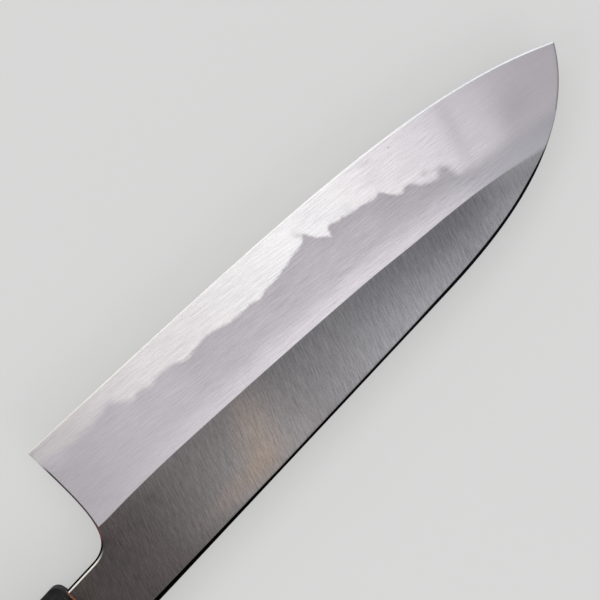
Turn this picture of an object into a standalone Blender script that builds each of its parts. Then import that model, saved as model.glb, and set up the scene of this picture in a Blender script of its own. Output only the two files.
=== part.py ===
"""A santoku knife: a blade of hard steel between two soft claddings, in an octagonal wooden handle.

The knife lies flat on its right side. +X runs from the butt to the tip, +Y from the spine to the
cutting edge and +Z out of the left face of the blade. The origin is under the middle of the knife,
on the surface that the handle lies on. The pieces are drawn on the knife line: x from the shoulders
of the neck, y from the line of the spine and z from the middle of the blade's thickness.
"""

import math

import bmesh
import bpy
from mathutils import Matrix

# Blade, seen from the left
NECK_LENGTH = 0.0185  # shoulders to the heel
NECK_HEIGHT = 0.0189
HEEL_HEIGHT = 0.0501  # spine to the corner of the heel
BLADE_LENGTH = 0.1683  # heel to tip, along the spine
TIP_DROP = 0.0239  # line of the spine down to the tip
SPINE_STRAIGHT = 0.1189  # shoulders to where the spine begins to fall
EDGE_HEEL_REACH = (0.0858, -0.0064)  # handles of the curve of the edge, from its ends
EDGE_TIP_REACH = (-0.0330, 0.0175)
SPINE_FALL_REACH = 0.0168  # handles of the curve of the spine, from its ends
SPINE_TIP_REACH = (-0.0150, -0.0238)
CHOIL_RUN = 0.0091  # heel back to where the lower line of the neck begins to curve up
CHOIL_NECK_REACH = 0.0091  # handles of the curve of the choil, from its ends
CHOIL_HEEL_REACH = (0.0000, -0.0220)

# Blade, across its thickness
SHOULDER_THICKNESS = 0.0032
THIN_THICKNESS = 0.0012  # of the flat, at THIN_AT from the shoulders
THIN_AT = 0.1649
BEVEL_HEIGHT = 0.0258  # edge up to the ridge where the wide bevel meets the flat
LAND_THICKNESS = 0.0003  # wide bevel carried on to the edge
MICRO_BEVEL = 0.0005  # height of the last, steep bevel
SPINE_EASING = (0.0009, 0.0005)  # eased corner of the spine: along y and z
WELD_LINE = 0.00002  # between the layers

# Most that a detail may take of what it lies in, where the blade runs out towards its tip
EASING_OF_HEIGHT = 0.3  # eased spine, of the height of the cladding
EASING_OF_WALL = 0.5  # and of the thickness of its wall
LAND_OF_HEIGHT = 0.4  # last bevel, of the height of the blade
CORNER_OF_HEIGHT = 0.3  # least place of the core's corner, of the height of the blade
RIDGE_OF_HEIGHT = (0.2, 0.9)  # least and most place of the ridge, of the height of the cladding

# Height of the line where the cladding ends: (x from the heel, height over the edge)
CLADDING_LINE = (
    (0.003, 0.0046),
    (0.012, 0.0058),
    (0.024, 0.0051),
    (0.032, 0.0079),
    (0.048, 0.0095),
    (0.070, 0.0110),
    (0.080, 0.0094),
    (0.086, 0.0076),
    (0.097, 0.0087),
    (0.107, 0.0106),
    (0.116, 0.0142),
    (0.124, 0.0150),
    (0.131, 0.0190),
    (0.143, 0.0202),
    (0.160, 0.0180),
)

# Tang
TANG_LENGTH = 0.0900
TANG_HEIGHT = 0.0125
TANG_END_HEIGHT = 0.0065
TANG_END_THICKNESS = 0.0022

# Handle
HANDLE_WIDTH = 0.0200  # across the left and right facets
FERRULE_HEIGHT = 0.0247  # across the spine and edge facets, at the front
BUTT_HEIGHT = 0.0262
CORNER_CUT = 0.0055  # leg of the four corner facets
FERRULE_LENGTH = 0.0300
GRIP_LENGTH = 0.1020
HANDLE_SIT = 0.00045  # middle of the handle, below the middle of the neck
RIM_ROUND = 0.0026
BUTT_ROUND = 0.0016
DOWEL_DIAMETER = 0.0150
DOWEL_IN_GRIP = 0.0220
DOWEL_CHAMFER = 0.0010
SEAL_HEIGHT = 0.0180
SEAL_WIDTH = 0.0052
SEAL_DEPTH = 0.0030  # how far it fills the mouth of the ferrule
SEAL_PROUD = 0.0003

CLEARANCE = 0.0003  # round a piece that sits in another
SEAM = 0.00005  # between flat faces that are glued
CUT_OVER = 0.0100  # how far a cutter runs past what it cuts
ROUND_SIDES = 40
RIM_STEPS = 3
ON_RIM = 1e-5  # how close to an end face the edges of its rim lie
CHOIL_STEPS = 18
STRAIGHT_STEPS = 26  # sections along the straight of the spine
FALL_STEPS = 22  # and from there to the tip
LEAST_STEP = 0.0003  # from the last section to the point
HALVINGS = 48  # rounds of halving that find a place on a curve

HEEL_X = NECK_LENGTH
TIP_X = NECK_LENGTH + BLADE_LENGTH
EDGE = (
    (HEEL_X, HEEL_HEIGHT),
    (HEEL_X + EDGE_HEEL_REACH[0], HEEL_HEIGHT + EDGE_HEEL_REACH[1]),
    (TIP_X + EDGE_TIP_REACH[0], TIP_DROP + EDGE_TIP_REACH[1]),
    (TIP_X, TIP_DROP),
)
SPINE = (
    (SPINE_STRAIGHT, 0.0),
    (SPINE_STRAIGHT + SPINE_FALL_REACH, 0.0),
    (TIP_X + SPINE_TIP_REACH[0], TIP_DROP + SPINE_TIP_REACH[1]),
    (TIP_X, TIP_DROP),
)
CHOIL = (
    (HEEL_X - CHOIL_RUN, NECK_HEIGHT),
    (HEEL_X - CHOIL_RUN + CHOIL_NECK_REACH, NECK_HEIGHT),
    (HEEL_X + CHOIL_HEEL_REACH[0], HEEL_HEIGHT + CHOIL_HEEL_REACH[1]),
    (HEEL_X, HEEL_HEIGHT),
)
HANDLE_AXIS = NECK_HEIGHT / 2 + HANDLE_SIT
MOUTH_X = -SEAL_PROUD - SEAM  # front face of the ferrule
JOINT_X = MOUTH_X - FERRULE_LENGTH  # back face of the ferrule
GRIP_FRONT_X = JOINT_X - SEAM
BUTT_X = GRIP_FRONT_X - GRIP_LENGTH
DOWEL_FRONT_X = MOUTH_X - SEAL_DEPTH - SEAM
DOWEL_BACK_X = GRIP_FRONT_X - DOWEL_IN_GRIP


def on_curve(curve, t):
    """The point at t, from 0 to 1, along a cubic curve given by its four control points."""
    weights = ((1 - t) ** 3, 3 * t * (1 - t) ** 2, 3 * t * t * (1 - t), t**3)
    return tuple(sum(w * p[axis] for w, p in zip(weights, curve)) for axis in (0, 1))


def height_at(curve, x):
    """The y of a curve at x, found by halving; the curve is carried on straight behind its start."""
    if x <= curve[0][0]:
        slope = (curve[1][1] - curve[0][1]) / (curve[1][0] - curve[0][0])
        return curve[0][1] + slope * (x - curve[0][0])
    low, high = 0.0, 1.0
    for _ in range(HALVINGS):
        middle = (low + high) / 2
        if on_curve(curve, middle)[0] < x:
            low = middle
        else:
            high = middle
    return on_curve(curve, low)[1]


def edge_y(x):
    """The y of the cutting edge at x."""
    return height_at(EDGE, x)


def spine_y(x):
    """The y of the spine at x."""
    return height_at(SPINE, x)


def flat_half(x):
    """Half the thickness of the blade on its flat, and of the tang."""
    if x < 0:
        return (SHOULDER_THICKNESS + (TANG_END_THICKNESS - SHOULDER_THICKNESS) * -x / TANG_LENGTH) / 2
    return (SHOULDER_THICKNESS + (THIN_THICKNESS - SHOULDER_THICKNESS) * x / THIN_AT) / 2


def bevel_slope(x):
    """How much of half the thickness the wide bevel takes for each metre of height."""
    return (flat_half(x) - LAND_THICKNESS / 2) / BEVEL_HEIGHT


def outer_half(x, y):
    """Half the thickness of the whole blade at a point: the flat, or the wide bevel below the ridge."""
    return min(flat_half(x), LAND_THICKNESS / 2 + (edge_y(x) - y) * bevel_slope(x))


def cladding_height(x):
    """Height of the cladding's end over the edge: a smooth curve through the points of CLADDING_LINE."""
    points = [(HEEL_X + along, height) for along, height in CLADDING_LINE]
    if x <= points[0][0]:
        return points[0][1]
    if x >= points[-1][0]:
        return points[-1][1]
    i = max(k for k in range(len(points) - 1) if points[k][0] <= x)
    slopes = []
    for k in (i, i + 1):
        before, after = points[max(k - 1, 0)], points[min(k + 1, len(points) - 1)]
        slopes.append((after[1] - before[1]) / (after[0] - before[0]))
    span = points[i + 1][0] - points[i][0]
    u = (x - points[i][0]) / span
    return (
        points[i][1] * (2 * u**3 - 3 * u**2 + 1)
        + slopes[0] * span * (u**3 - 2 * u**2 + u)
        + points[i + 1][1] * (3 * u**2 - 2 * u**3)
        + slopes[1] * span * (u**3 - u**2)
    )


def cladding_y(x):
    """The y at which the cladding ends, held on the spine where the line has run out of the blade."""
    return max(edge_y(x) - cladding_height(x), spine_y(x))


def weld_half(x):
    """Half the thickness at which the cladding lies on the core."""
    return outer_half(x, cladding_y(x))


def cladding_end():
    """The x at which the end of the cladding reaches the spine."""
    low, high = SPINE_STRAIGHT, TIP_X
    for _ in range(HALVINGS):
        middle = (low + high) / 2
        if edge_y(middle) - cladding_height(middle) > spine_y(middle):
            low = middle
        else:
            high = middle
    return low


def stations(end):
    """The x of each section of a layer, from the end of the tang: closer together towards the tip."""
    straight = [SPINE_STRAIGHT * k / STRAIGHT_STEPS for k in range(STRAIGHT_STEPS + 1)]
    falls = [math.sin(math.pi / 2 * k / FALL_STEPS) for k in range(1, FALL_STEPS)]
    fallen = [SPINE_STRAIGHT + (TIP_X - SPINE_STRAIGHT) * fall for fall in falls]
    return [x for x in [-TANG_LENGTH] + straight + fallen if x < end - LEAST_STEP]


def core_section(x):
    """The outline of the core at x, round from the right of the spine, over the edge, to its left."""
    top, foot = spine_y(x), edge_y(x)
    land = foot - min(MICRO_BEVEL, (foot - top) * LAND_OF_HEIGHT)
    corner = max(cladding_y(x), top + (land - top) * CORNER_OF_HEIGHT)
    half = weld_half(x) - WELD_LINE
    side = [(y, min(half, outer_half(x, y))) for y in (top, corner, land)]
    return [(y, -z) for y, z in side] + [(foot, 0.0)] + [(y, z) for y, z in reversed(side)]


def cladding_section(x):
    """The outline of the left cladding at x: its inner face, the eased spine, the ridge and its end."""
    top, end, inner = spine_y(x), cladding_y(x), weld_half(x)
    wall = outer_half(x, top) - inner
    eased = top + min(SPINE_EASING[0], (end - top) * EASING_OF_HEIGHT)
    ease_z = min(SPINE_EASING[1], wall * EASING_OF_WALL)
    least, most = (eased + (end - eased) * share for share in RIDGE_OF_HEIGHT)
    ridge = min(max(edge_y(x) - BEVEL_HEIGHT, least), most)
    return [
        (top, inner),
        (top, outer_half(x, top) - ease_z),
        (eased, outer_half(x, eased)),
        (ridge, outer_half(x, ridge)),
        (end, inner),
    ]


def move_to_collection(obj, name):
    """Puts an object in the collection of that name, which is made the first time."""
    target = bpy.data.collections.get(name)
    if target is None:
        target = bpy.data.collections.new(name)
        bpy.context.scene.collection.children.link(target)
    for old in list(obj.users_collection):
        old.objects.unlink(obj)
    target.objects.link(obj)


def material(name, colour, roughness, metallic):
    """A Principled material of one colour."""
    made = bpy.data.materials.new(name)
    made.use_nodes = True
    shader = made.node_tree.nodes["Principled BSDF"]
    shader.inputs["Base Color"].default_value = (*colour, 1.0)
    shader.inputs["Roughness"].default_value = roughness
    shader.inputs["Metallic"].default_value = metallic
    return made


def knife_piece(bm, name, finish, line):
    """Makes an object of a bmesh, on the knife line, with its material."""
    bmesh.ops.recalc_face_normals(bm, faces=bm.faces)
    mesh = bpy.data.meshes.new(name)
    bm.to_mesh(mesh)
    bm.free()
    mesh.materials.append(finish)
    piece = bpy.data.objects.new(name, mesh)
    piece.parent = line
    move_to_collection(piece, "santoku_knife")
    return piece


def as_cutter(obj, line):
    """Makes an object a cutter on the knife line: it shows as wires and isn't part of the knife."""
    obj.parent = line
    obj.hide_render = True
    obj.display_type = "WIRE"
    move_to_collection(obj, "cutters")
    return obj


def cut(piece, cutter):
    """Cuts a piece by a cutter."""
    boolean = piece.modifiers.new(cutter.name, "BOOLEAN")
    boolean.operation = "DIFFERENCE"
    boolean.object = cutter


def loft(sections, apex):
    """A closed bmesh through sections of equally many points, from a flat end to a single point."""
    bm = bmesh.new()
    rings = [[bm.verts.new(point) for point in section] for section in sections]
    for ring, after in zip(rings, rings[1:]):
        for k in range(len(ring)):
            n = (k + 1) % len(ring)
            bm.faces.new((ring[k], ring[n], after[n], after[k]))
    bm.faces.new(rings[0])
    tip = bm.verts.new(apex)
    for k in range(len(rings[-1])):
        bm.faces.new((rings[-1][k], rings[-1][(k + 1) % len(rings[-1])], tip))
    return bm


def outline_solid(name, outlines, thickness):
    """A solid between the outlines, given in x and y: a filled 2D curve, extruded along z both ways."""
    curve = bpy.data.curves.new(name, "CURVE")
    curve.dimensions = "2D"
    curve.fill_mode = "BOTH"
    curve.extrude = thickness / 2
    for outline in outlines:
        spline = curve.splines.new("POLY")
        spline.points.add(len(outline) - 1)
        for point, (x, y) in zip(spline.points, outline):
            point.co = (x, y, 0.0, 1.0)
        spline.use_cyclic_u = True
    drawn = bpy.data.objects.new(name + "_outline", curve)
    bpy.context.scene.collection.objects.link(drawn)
    seen = drawn.evaluated_get(bpy.context.evaluated_depsgraph_get())
    bm = bmesh.new()
    bm.from_mesh(bpy.data.meshes.new_from_object(seen))
    bpy.data.objects.remove(drawn)
    bmesh.ops.remove_doubles(bm, verts=bm.verts, dist=1e-6)
    return bm


def profile_cutter(line):
    """What is ground away from the bar: above and below the tang, and behind the choil."""
    end_x = -TANG_LENGTH - CUT_OVER
    growth = (TANG_END_HEIGHT - TANG_HEIGHT) / 2 / TANG_LENGTH
    half_front = TANG_HEIGHT / 2
    half_back = half_front + growth * -end_x
    above = [
        (0.0, -CUT_OVER),
        (0.0, HANDLE_AXIS - half_front),
        (end_x, HANDLE_AXIS - half_back),
        (end_x, -CUT_OVER),
    ]
    choil = [on_curve(CHOIL, k / CHOIL_STEPS) for k in range(CHOIL_STEPS + 1)]
    past_heel = HEEL_HEIGHT + CUT_OVER
    below = choil + [
        (HEEL_X, past_heel),
        (end_x, past_heel),
        (end_x, HANDLE_AXIS + half_back),
        (0.0, HANDLE_AXIS + half_front),
        (0.0, NECK_HEIGHT),
    ]
    bm = outline_solid("tang_and_choil", (above, below), SHOULDER_THICKNESS + 2 * CUT_OVER)
    mesh = bpy.data.meshes.new("tang_and_choil")
    bm.to_mesh(mesh)
    bm.free()
    return as_cutter(bpy.data.objects.new("tang_and_choil", mesh), line)


def core_steel(line, profile):
    """The hard middle layer, with the edge and the middle of the tang."""
    sections = [[(x, y, z) for y, z in core_section(x)] for x in stations(TIP_X)]
    finish = material("hard_steel", (0.80, 0.79, 0.81), 0.25, 1.0)
    cut(knife_piece(loft(sections, (TIP_X, TIP_DROP, 0.0)), "core_steel", finish, line), profile)


def cladding(name, side, line, profile, finish):
    """A soft outer layer: side is 1 for the left and -1 for the right."""
    end = cladding_end()
    sections = [[(x, y, side * z) for y, z in cladding_section(x)] for x in stations(end)]
    apex = (end, spine_y(end), side * weld_half(end))
    cut(knife_piece(loft(sections, apex), name, finish, line), profile)


def handle_height(x):
    """Height of the handle at x: it grows evenly from the mouth to the butt."""
    return FERRULE_HEIGHT + (BUTT_HEIGHT - FERRULE_HEIGHT) * (MOUTH_X - x) / (MOUTH_X - BUTT_X)


def octagonal_bar(front_x, back_x, round_front, round_back):
    """A length of the octagonal handle, with the rims of its two ends rounded where a radius is given."""
    bm = bmesh.new()
    bmesh.ops.create_cube(bm, size=1.0)
    for vert in bm.verts:
        x = front_x if vert.co.x > 0 else back_x
        y = HANDLE_AXIS + vert.co.y * handle_height(x)
        vert.co = (x, y, vert.co.z * HANDLE_WIDTH)
    long_edges = [edge for edge in bm.edges if edge.verts[0].co.x != edge.verts[1].co.x]
    bmesh.ops.bevel(bm, geom=long_edges, offset=CORNER_CUT, segments=1, affect="EDGES")
    for rim_x, radius in ((front_x, round_front), (back_x, round_back)):
        if radius:
            rim = [e for e in bm.edges if all(abs(v.co.x - rim_x) < ON_RIM for v in e.verts)]
            bmesh.ops.bevel(bm, geom=rim, offset=radius, segments=RIM_STEPS, affect="EDGES")
    return bm


def round_bar(front_x, back_x, diameter, chamfer):
    """A round bar on the axis of the handle."""
    bm = bmesh.new()
    length = front_x - back_x
    bmesh.ops.create_cone(
        bm, cap_ends=True, segments=ROUND_SIDES, radius1=diameter / 2, radius2=diameter / 2, depth=length
    )
    if chamfer:
        rims = [edge for edge in bm.edges if edge.verts[0].co.z == edge.verts[1].co.z]
        bmesh.ops.bevel(bm, geom=rims, offset=chamfer, segments=1, affect="EDGES")
    turn = Matrix.Rotation(math.pi / 2, 4, "Y")
    place = Matrix.Translation(((front_x + back_x) / 2, HANDLE_AXIS, 0.0))
    bmesh.ops.transform(bm, matrix=place @ turn, verts=bm.verts)
    return bm


def oblong_bar(front_x, back_x, height, width):
    """A bar with round ends across the handle: its outline lies in y and z."""
    half_turn = ROUND_SIDES // 2
    radius = width / 2
    reach = height / 2 - radius
    outline = []
    for side in (1, -1):
        for k in range(half_turn + 1):
            angle = math.pi * k / half_turn
            outline.append((side * (reach + radius * math.sin(angle)), side * radius * math.cos(angle)))
    bm = outline_solid("oblong", (outline,), front_x - back_x)
    turn = Matrix(((0, 0, 1, 0), (1, 0, 0, 0), (0, 1, 0, 0), (0, 0, 0, 1)))
    place = Matrix.Translation(((front_x + back_x) / 2, HANDLE_AXIS, 0.0))
    bmesh.ops.transform(bm, matrix=place @ turn, verts=bm.verts)
    return bm


def tang_slot(front_x, back_x):
    """The tang with its clearance, as a tapered bar between two places along it."""
    bm = bmesh.new()
    bmesh.ops.create_cube(bm, size=1.0)
    for vert in bm.verts:
        x = front_x if vert.co.x > 0 else back_x
        height = TANG_HEIGHT + (TANG_END_HEIGHT - TANG_HEIGHT) * -x / TANG_LENGTH
        thickness = SHOULDER_THICKNESS + (TANG_END_THICKNESS - SHOULDER_THICKNESS) * -x / TANG_LENGTH
        y = HANDLE_AXIS + vert.co.y * (height + 2 * CLEARANCE)
        vert.co = (x, y, vert.co.z * (thickness + 2 * CLEARANCE))
    return bm


def cutter_of(bm, name, line):
    """Makes a cutter of a bmesh."""
    bmesh.ops.recalc_face_normals(bm, faces=bm.faces)
    mesh = bpy.data.meshes.new(name)
    bm.to_mesh(mesh)
    bm.free()
    return as_cutter(bpy.data.objects.new(name, mesh), line)


def ferrule(line, mouth):
    """The horn block: an octagon with a round bore for the dowel and an oblong mouth for the seal."""
    bore_front = MOUTH_X - SEAL_DEPTH
    bore = round_bar(bore_front, JOINT_X - CUT_OVER, DOWEL_DIAMETER + 2 * CLEARANCE, 0)
    piece = knife_piece(
        octagonal_bar(MOUTH_X, JOINT_X, RIM_ROUND, 0),
        "ferrule",
        material("black_horn", (0.012, 0.011, 0.011), 0.28, 0.0),
        line,
    )
    cut(piece, cutter_of(bore, "ferrule_bore", line))
    cut(piece, mouth)


def mouth_cutter(line):
    """The oblong mouth of the ferrule, open to its bore."""
    height, width = SEAL_HEIGHT + 2 * CLEARANCE, SEAL_WIDTH + 2 * CLEARANCE
    opening = oblong_bar(MOUTH_X + CUT_OVER, MOUTH_X - SEAL_DEPTH - SEAM, height, width)
    return cutter_of(opening, "ferrule_mouth", line)


def handle_body(line, slot):
    """The wooden grip, bored for the dowel and slotted for the end of the tang."""
    bore = round_bar(JOINT_X + CUT_OVER, DOWEL_BACK_X - SEAM, DOWEL_DIAMETER + 2 * CLEARANCE, 0)
    piece = knife_piece(
        octagonal_bar(GRIP_FRONT_X, BUTT_X, 0, BUTT_ROUND),
        "handle_body",
        material("magnolia_wood", (0.47, 0.31, 0.17), 0.55, 0.0),
        line,
    )
    cut(piece, cutter_of(bore, "grip_bore", line))
    cut(piece, slot)


def tenon_dowel(line, slot):
    """The hidden dowel that joins ferrule and grip round the tang."""
    piece = knife_piece(
        round_bar(DOWEL_FRONT_X, DOWEL_BACK_X, DOWEL_DIAMETER, DOWEL_CHAMFER),
        "tenon_dowel",
        material("dowel_wood", (0.55, 0.38, 0.22), 0.6, 0.0),
        line,
    )
    cut(piece, slot)


def mouth_seal(line, slot):
    """The amber seal that fills the mouth of the ferrule round the tang."""
    piece = knife_piece(
        oblong_bar(-SEAM, MOUTH_X - SEAL_DEPTH + SEAM, SEAL_HEIGHT, SEAL_WIDTH),
        "mouth_seal",
        material("amber_resin", (0.42, 0.16, 0.04), 0.3, 0.0),
        line,
    )
    cut(piece, slot)


def knife_line():
    """The empty that all pieces hang on, at the shoulders, the spine and the middle of the blade."""
    line = bpy.data.objects.new("knife_line", None)
    bpy.context.scene.collection.objects.link(line)
    handle_top = HANDLE_AXIS - BUTT_HEIGHT / 2
    line.location = (
        -(TIP_X + BUTT_X) / 2,
        -(HEEL_HEIGHT + min(handle_top, 0.0)) / 2,
        HANDLE_WIDTH / 2,
    )
    return line


def main():
    for old in list(bpy.data.objects):
        bpy.data.objects.remove(old)
    line = knife_line()
    profile = profile_cutter(line)
    soft_steel = material("soft_steel", (0.56, 0.56, 0.57), 0.35, 1.0)
    core_steel(line, profile)
    cladding("cladding_left", 1, line, profile, soft_steel)
    cladding("cladding_right", -1, line, profile, soft_steel)
    slot = cutter_of(tang_slot(CUT_OVER, -TANG_LENGTH - CLEARANCE), "tang_slot", line)
    ferrule(line, mouth_cutter(line))
    handle_body(line, slot)
    tenon_dowel(line, slot)
    mouth_seal(line, slot)


main()
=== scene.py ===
"""The looks of a santoku knife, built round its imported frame.

The three layers of the blade share one net of triangles, whose rows follow the ridge of the wide bevel,
the last bevel, the rounded rims and the wavy line where the soft cladding ends. The pieces of the handle
are lofts of octagonal rings. Sizes are in millimetres on the knife line: x from the shoulders of the neck
to the tip, y from the line of the spine to the cutting edge and z from the middle of the blade's thickness.
"""

import logging
import math
from collections.abc import Callable, Iterable, Sequence
from dataclasses import dataclass, field
from enum import Enum

import bmesh
import bpy
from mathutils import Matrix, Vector
from mathutils.geometry import delaunay_2d_cdt


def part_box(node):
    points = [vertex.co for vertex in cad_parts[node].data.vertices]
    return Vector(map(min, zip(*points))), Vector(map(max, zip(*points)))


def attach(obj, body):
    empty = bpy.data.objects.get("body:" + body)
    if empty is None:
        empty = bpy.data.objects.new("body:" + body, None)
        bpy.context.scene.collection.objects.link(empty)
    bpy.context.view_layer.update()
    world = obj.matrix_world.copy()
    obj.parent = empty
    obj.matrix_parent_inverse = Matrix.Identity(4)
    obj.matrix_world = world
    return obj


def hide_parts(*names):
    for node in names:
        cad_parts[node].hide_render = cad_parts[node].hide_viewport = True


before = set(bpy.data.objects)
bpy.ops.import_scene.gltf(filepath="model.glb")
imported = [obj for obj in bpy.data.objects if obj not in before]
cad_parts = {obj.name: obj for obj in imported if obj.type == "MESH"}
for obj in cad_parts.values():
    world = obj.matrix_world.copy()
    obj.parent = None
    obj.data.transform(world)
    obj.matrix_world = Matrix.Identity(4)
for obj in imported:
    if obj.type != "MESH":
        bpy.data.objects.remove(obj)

LOG = logging.getLogger("santoku")
MM = 0.001
HALVINGS = 40  # rounds of halving that find a place on a curve
SMOOTH_UNDER = math.radians(35)  # faces that meet at less are shaded as one
RAMP_END = 190.0  # x at the end of the ramps of colour
NOWHERE = (0.0, 0.0, 0.0)
REFLECTED_BLACK = (0.0015, 0.0014, 0.0014)  # painted dark reflection: the black line beside the rims
NO_WALL = 1e-6  # thickness under which both faces of a plate share a point
NEXT_TO_NOTHING = 1e-9  # keeps a division off zero

Point = tuple[float, float]
Place = tuple[float, float, float]
Colour = tuple[float, float, float]


class Side(Enum):
    """A face of the blade, by the sign of its z."""

    LEFT = 1
    RIGHT = -1


def rounding(distance: float, width: float, depth: float) -> float:
    """How far a rounded rim lies below the face it rounds.

    Args:
        distance: Distance in from the rim.
        width: Width of the rounding.
        depth: Its depth at the rim.

    Returns:
        The depth at that distance, 0 past the width.
    """
    if distance >= width or depth <= 0:
        return 0.0
    share = 1 - max(distance, 0.0) / width
    return depth * (1 - math.sqrt(max(0.0, 1 - share * share)))


def between(value: float, start: float, end: float) -> float:
    """The share of the way from start to end, held between 0 and 1."""
    return min(1.0, max(0.0, (value - start) / (end - start)))


def smooth_through(points: Sequence[Point], x: float) -> float:
    """A smooth curve through points, level before the first and past the last.

    Args:
        points: The points, in the order of their x.
        x: Where the curve is read.

    Returns:
        The height of the curve there.
    """
    if x <= points[0][0]:
        return points[0][1]
    if x >= points[-1][0]:
        return points[-1][1]
    i = max(k for k in range(len(points) - 1) if points[k][0] <= x)
    slopes = []
    for k in (i, i + 1):
        before, after = points[max(k - 1, 0)], points[min(k + 1, len(points) - 1)]
        slopes.append((after[1] - before[1]) / (after[0] - before[0]))
    span = points[i + 1][0] - points[i][0]
    u = (x - points[i][0]) / span
    return (
        points[i][1] * (2 * u**3 - 3 * u**2 + 1)
        + slopes[0] * span * (u**3 - 2 * u**2 + u)
        + points[i + 1][1] * (3 * u**2 - 2 * u**3)
        + slopes[1] * span * (u**3 - u**2)
    )


def distance_to(x: float, y: float, start: Point, end: Point) -> float:
    """The distance of a place from a straight line between two points.

    Args:
        x: The x of the place.
        y: Its y.
        start: One end of the line.
        end: The other end.

    Returns:
        The distance to the nearest point of the line.
    """
    run, rise = end[0] - start[0], end[1] - start[1]
    share = between((x - start[0]) * run + (y - start[1]) * rise, 0.0, run * run + rise * rise)
    return math.hypot(x - start[0] - run * share, y - start[1] - rise * share)


@dataclass(frozen=True)
class Sweep:
    """A cubic curve in x and y that runs on in x, carried on straight behind its start."""

    points: tuple[Point, Point, Point, Point]

    @classmethod
    def reaching(cls, start: Point, ahead: Point, back: Point, end: Point) -> "Sweep":
        """The curve that leaves its start along one step and comes to its end along another."""
        first, last = (start[0] + ahead[0], start[1] + ahead[1]), (end[0] + back[0], end[1] + back[1])
        return cls((start, first, last, end))

    def at(self, t: float) -> Point:
        """The point at t, from 0 to 1."""
        weights = ((1 - t) ** 3, 3 * t * (1 - t) ** 2, 3 * t * t * (1 - t), t**3)
        return tuple(sum(w * p[axis] for w, p in zip(weights, self.points)) for axis in (0, 1))

    def y_at(self, x: float) -> float:
        """The y of the curve at x.

        Args:
            x: Place along the knife.

        Returns:
            The y there, found by halving.
        """
        first, second = self.points[:2]
        if x <= first[0]:
            return first[1] + (second[1] - first[1]) / (second[0] - first[0]) * (x - first[0])
        low, high = 0.0, 1.0
        for _ in range(HALVINGS):
            middle = (low + high) / 2
            if self.at(middle)[0] < x:
                low = middle
            else:
                high = middle
        return self.at(low)[1]

    def slope_at(self, x: float, step: float = 0.05) -> float:
        """The rise of the curve at x, by a small step back from it."""
        return (self.y_at(x) - self.y_at(x - step)) / step

    def walk(self, steps: int) -> list[Point]:
        """Points along the curve, both ends with them."""
        return [self.at(k / steps) for k in range(steps + 1)]


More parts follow.
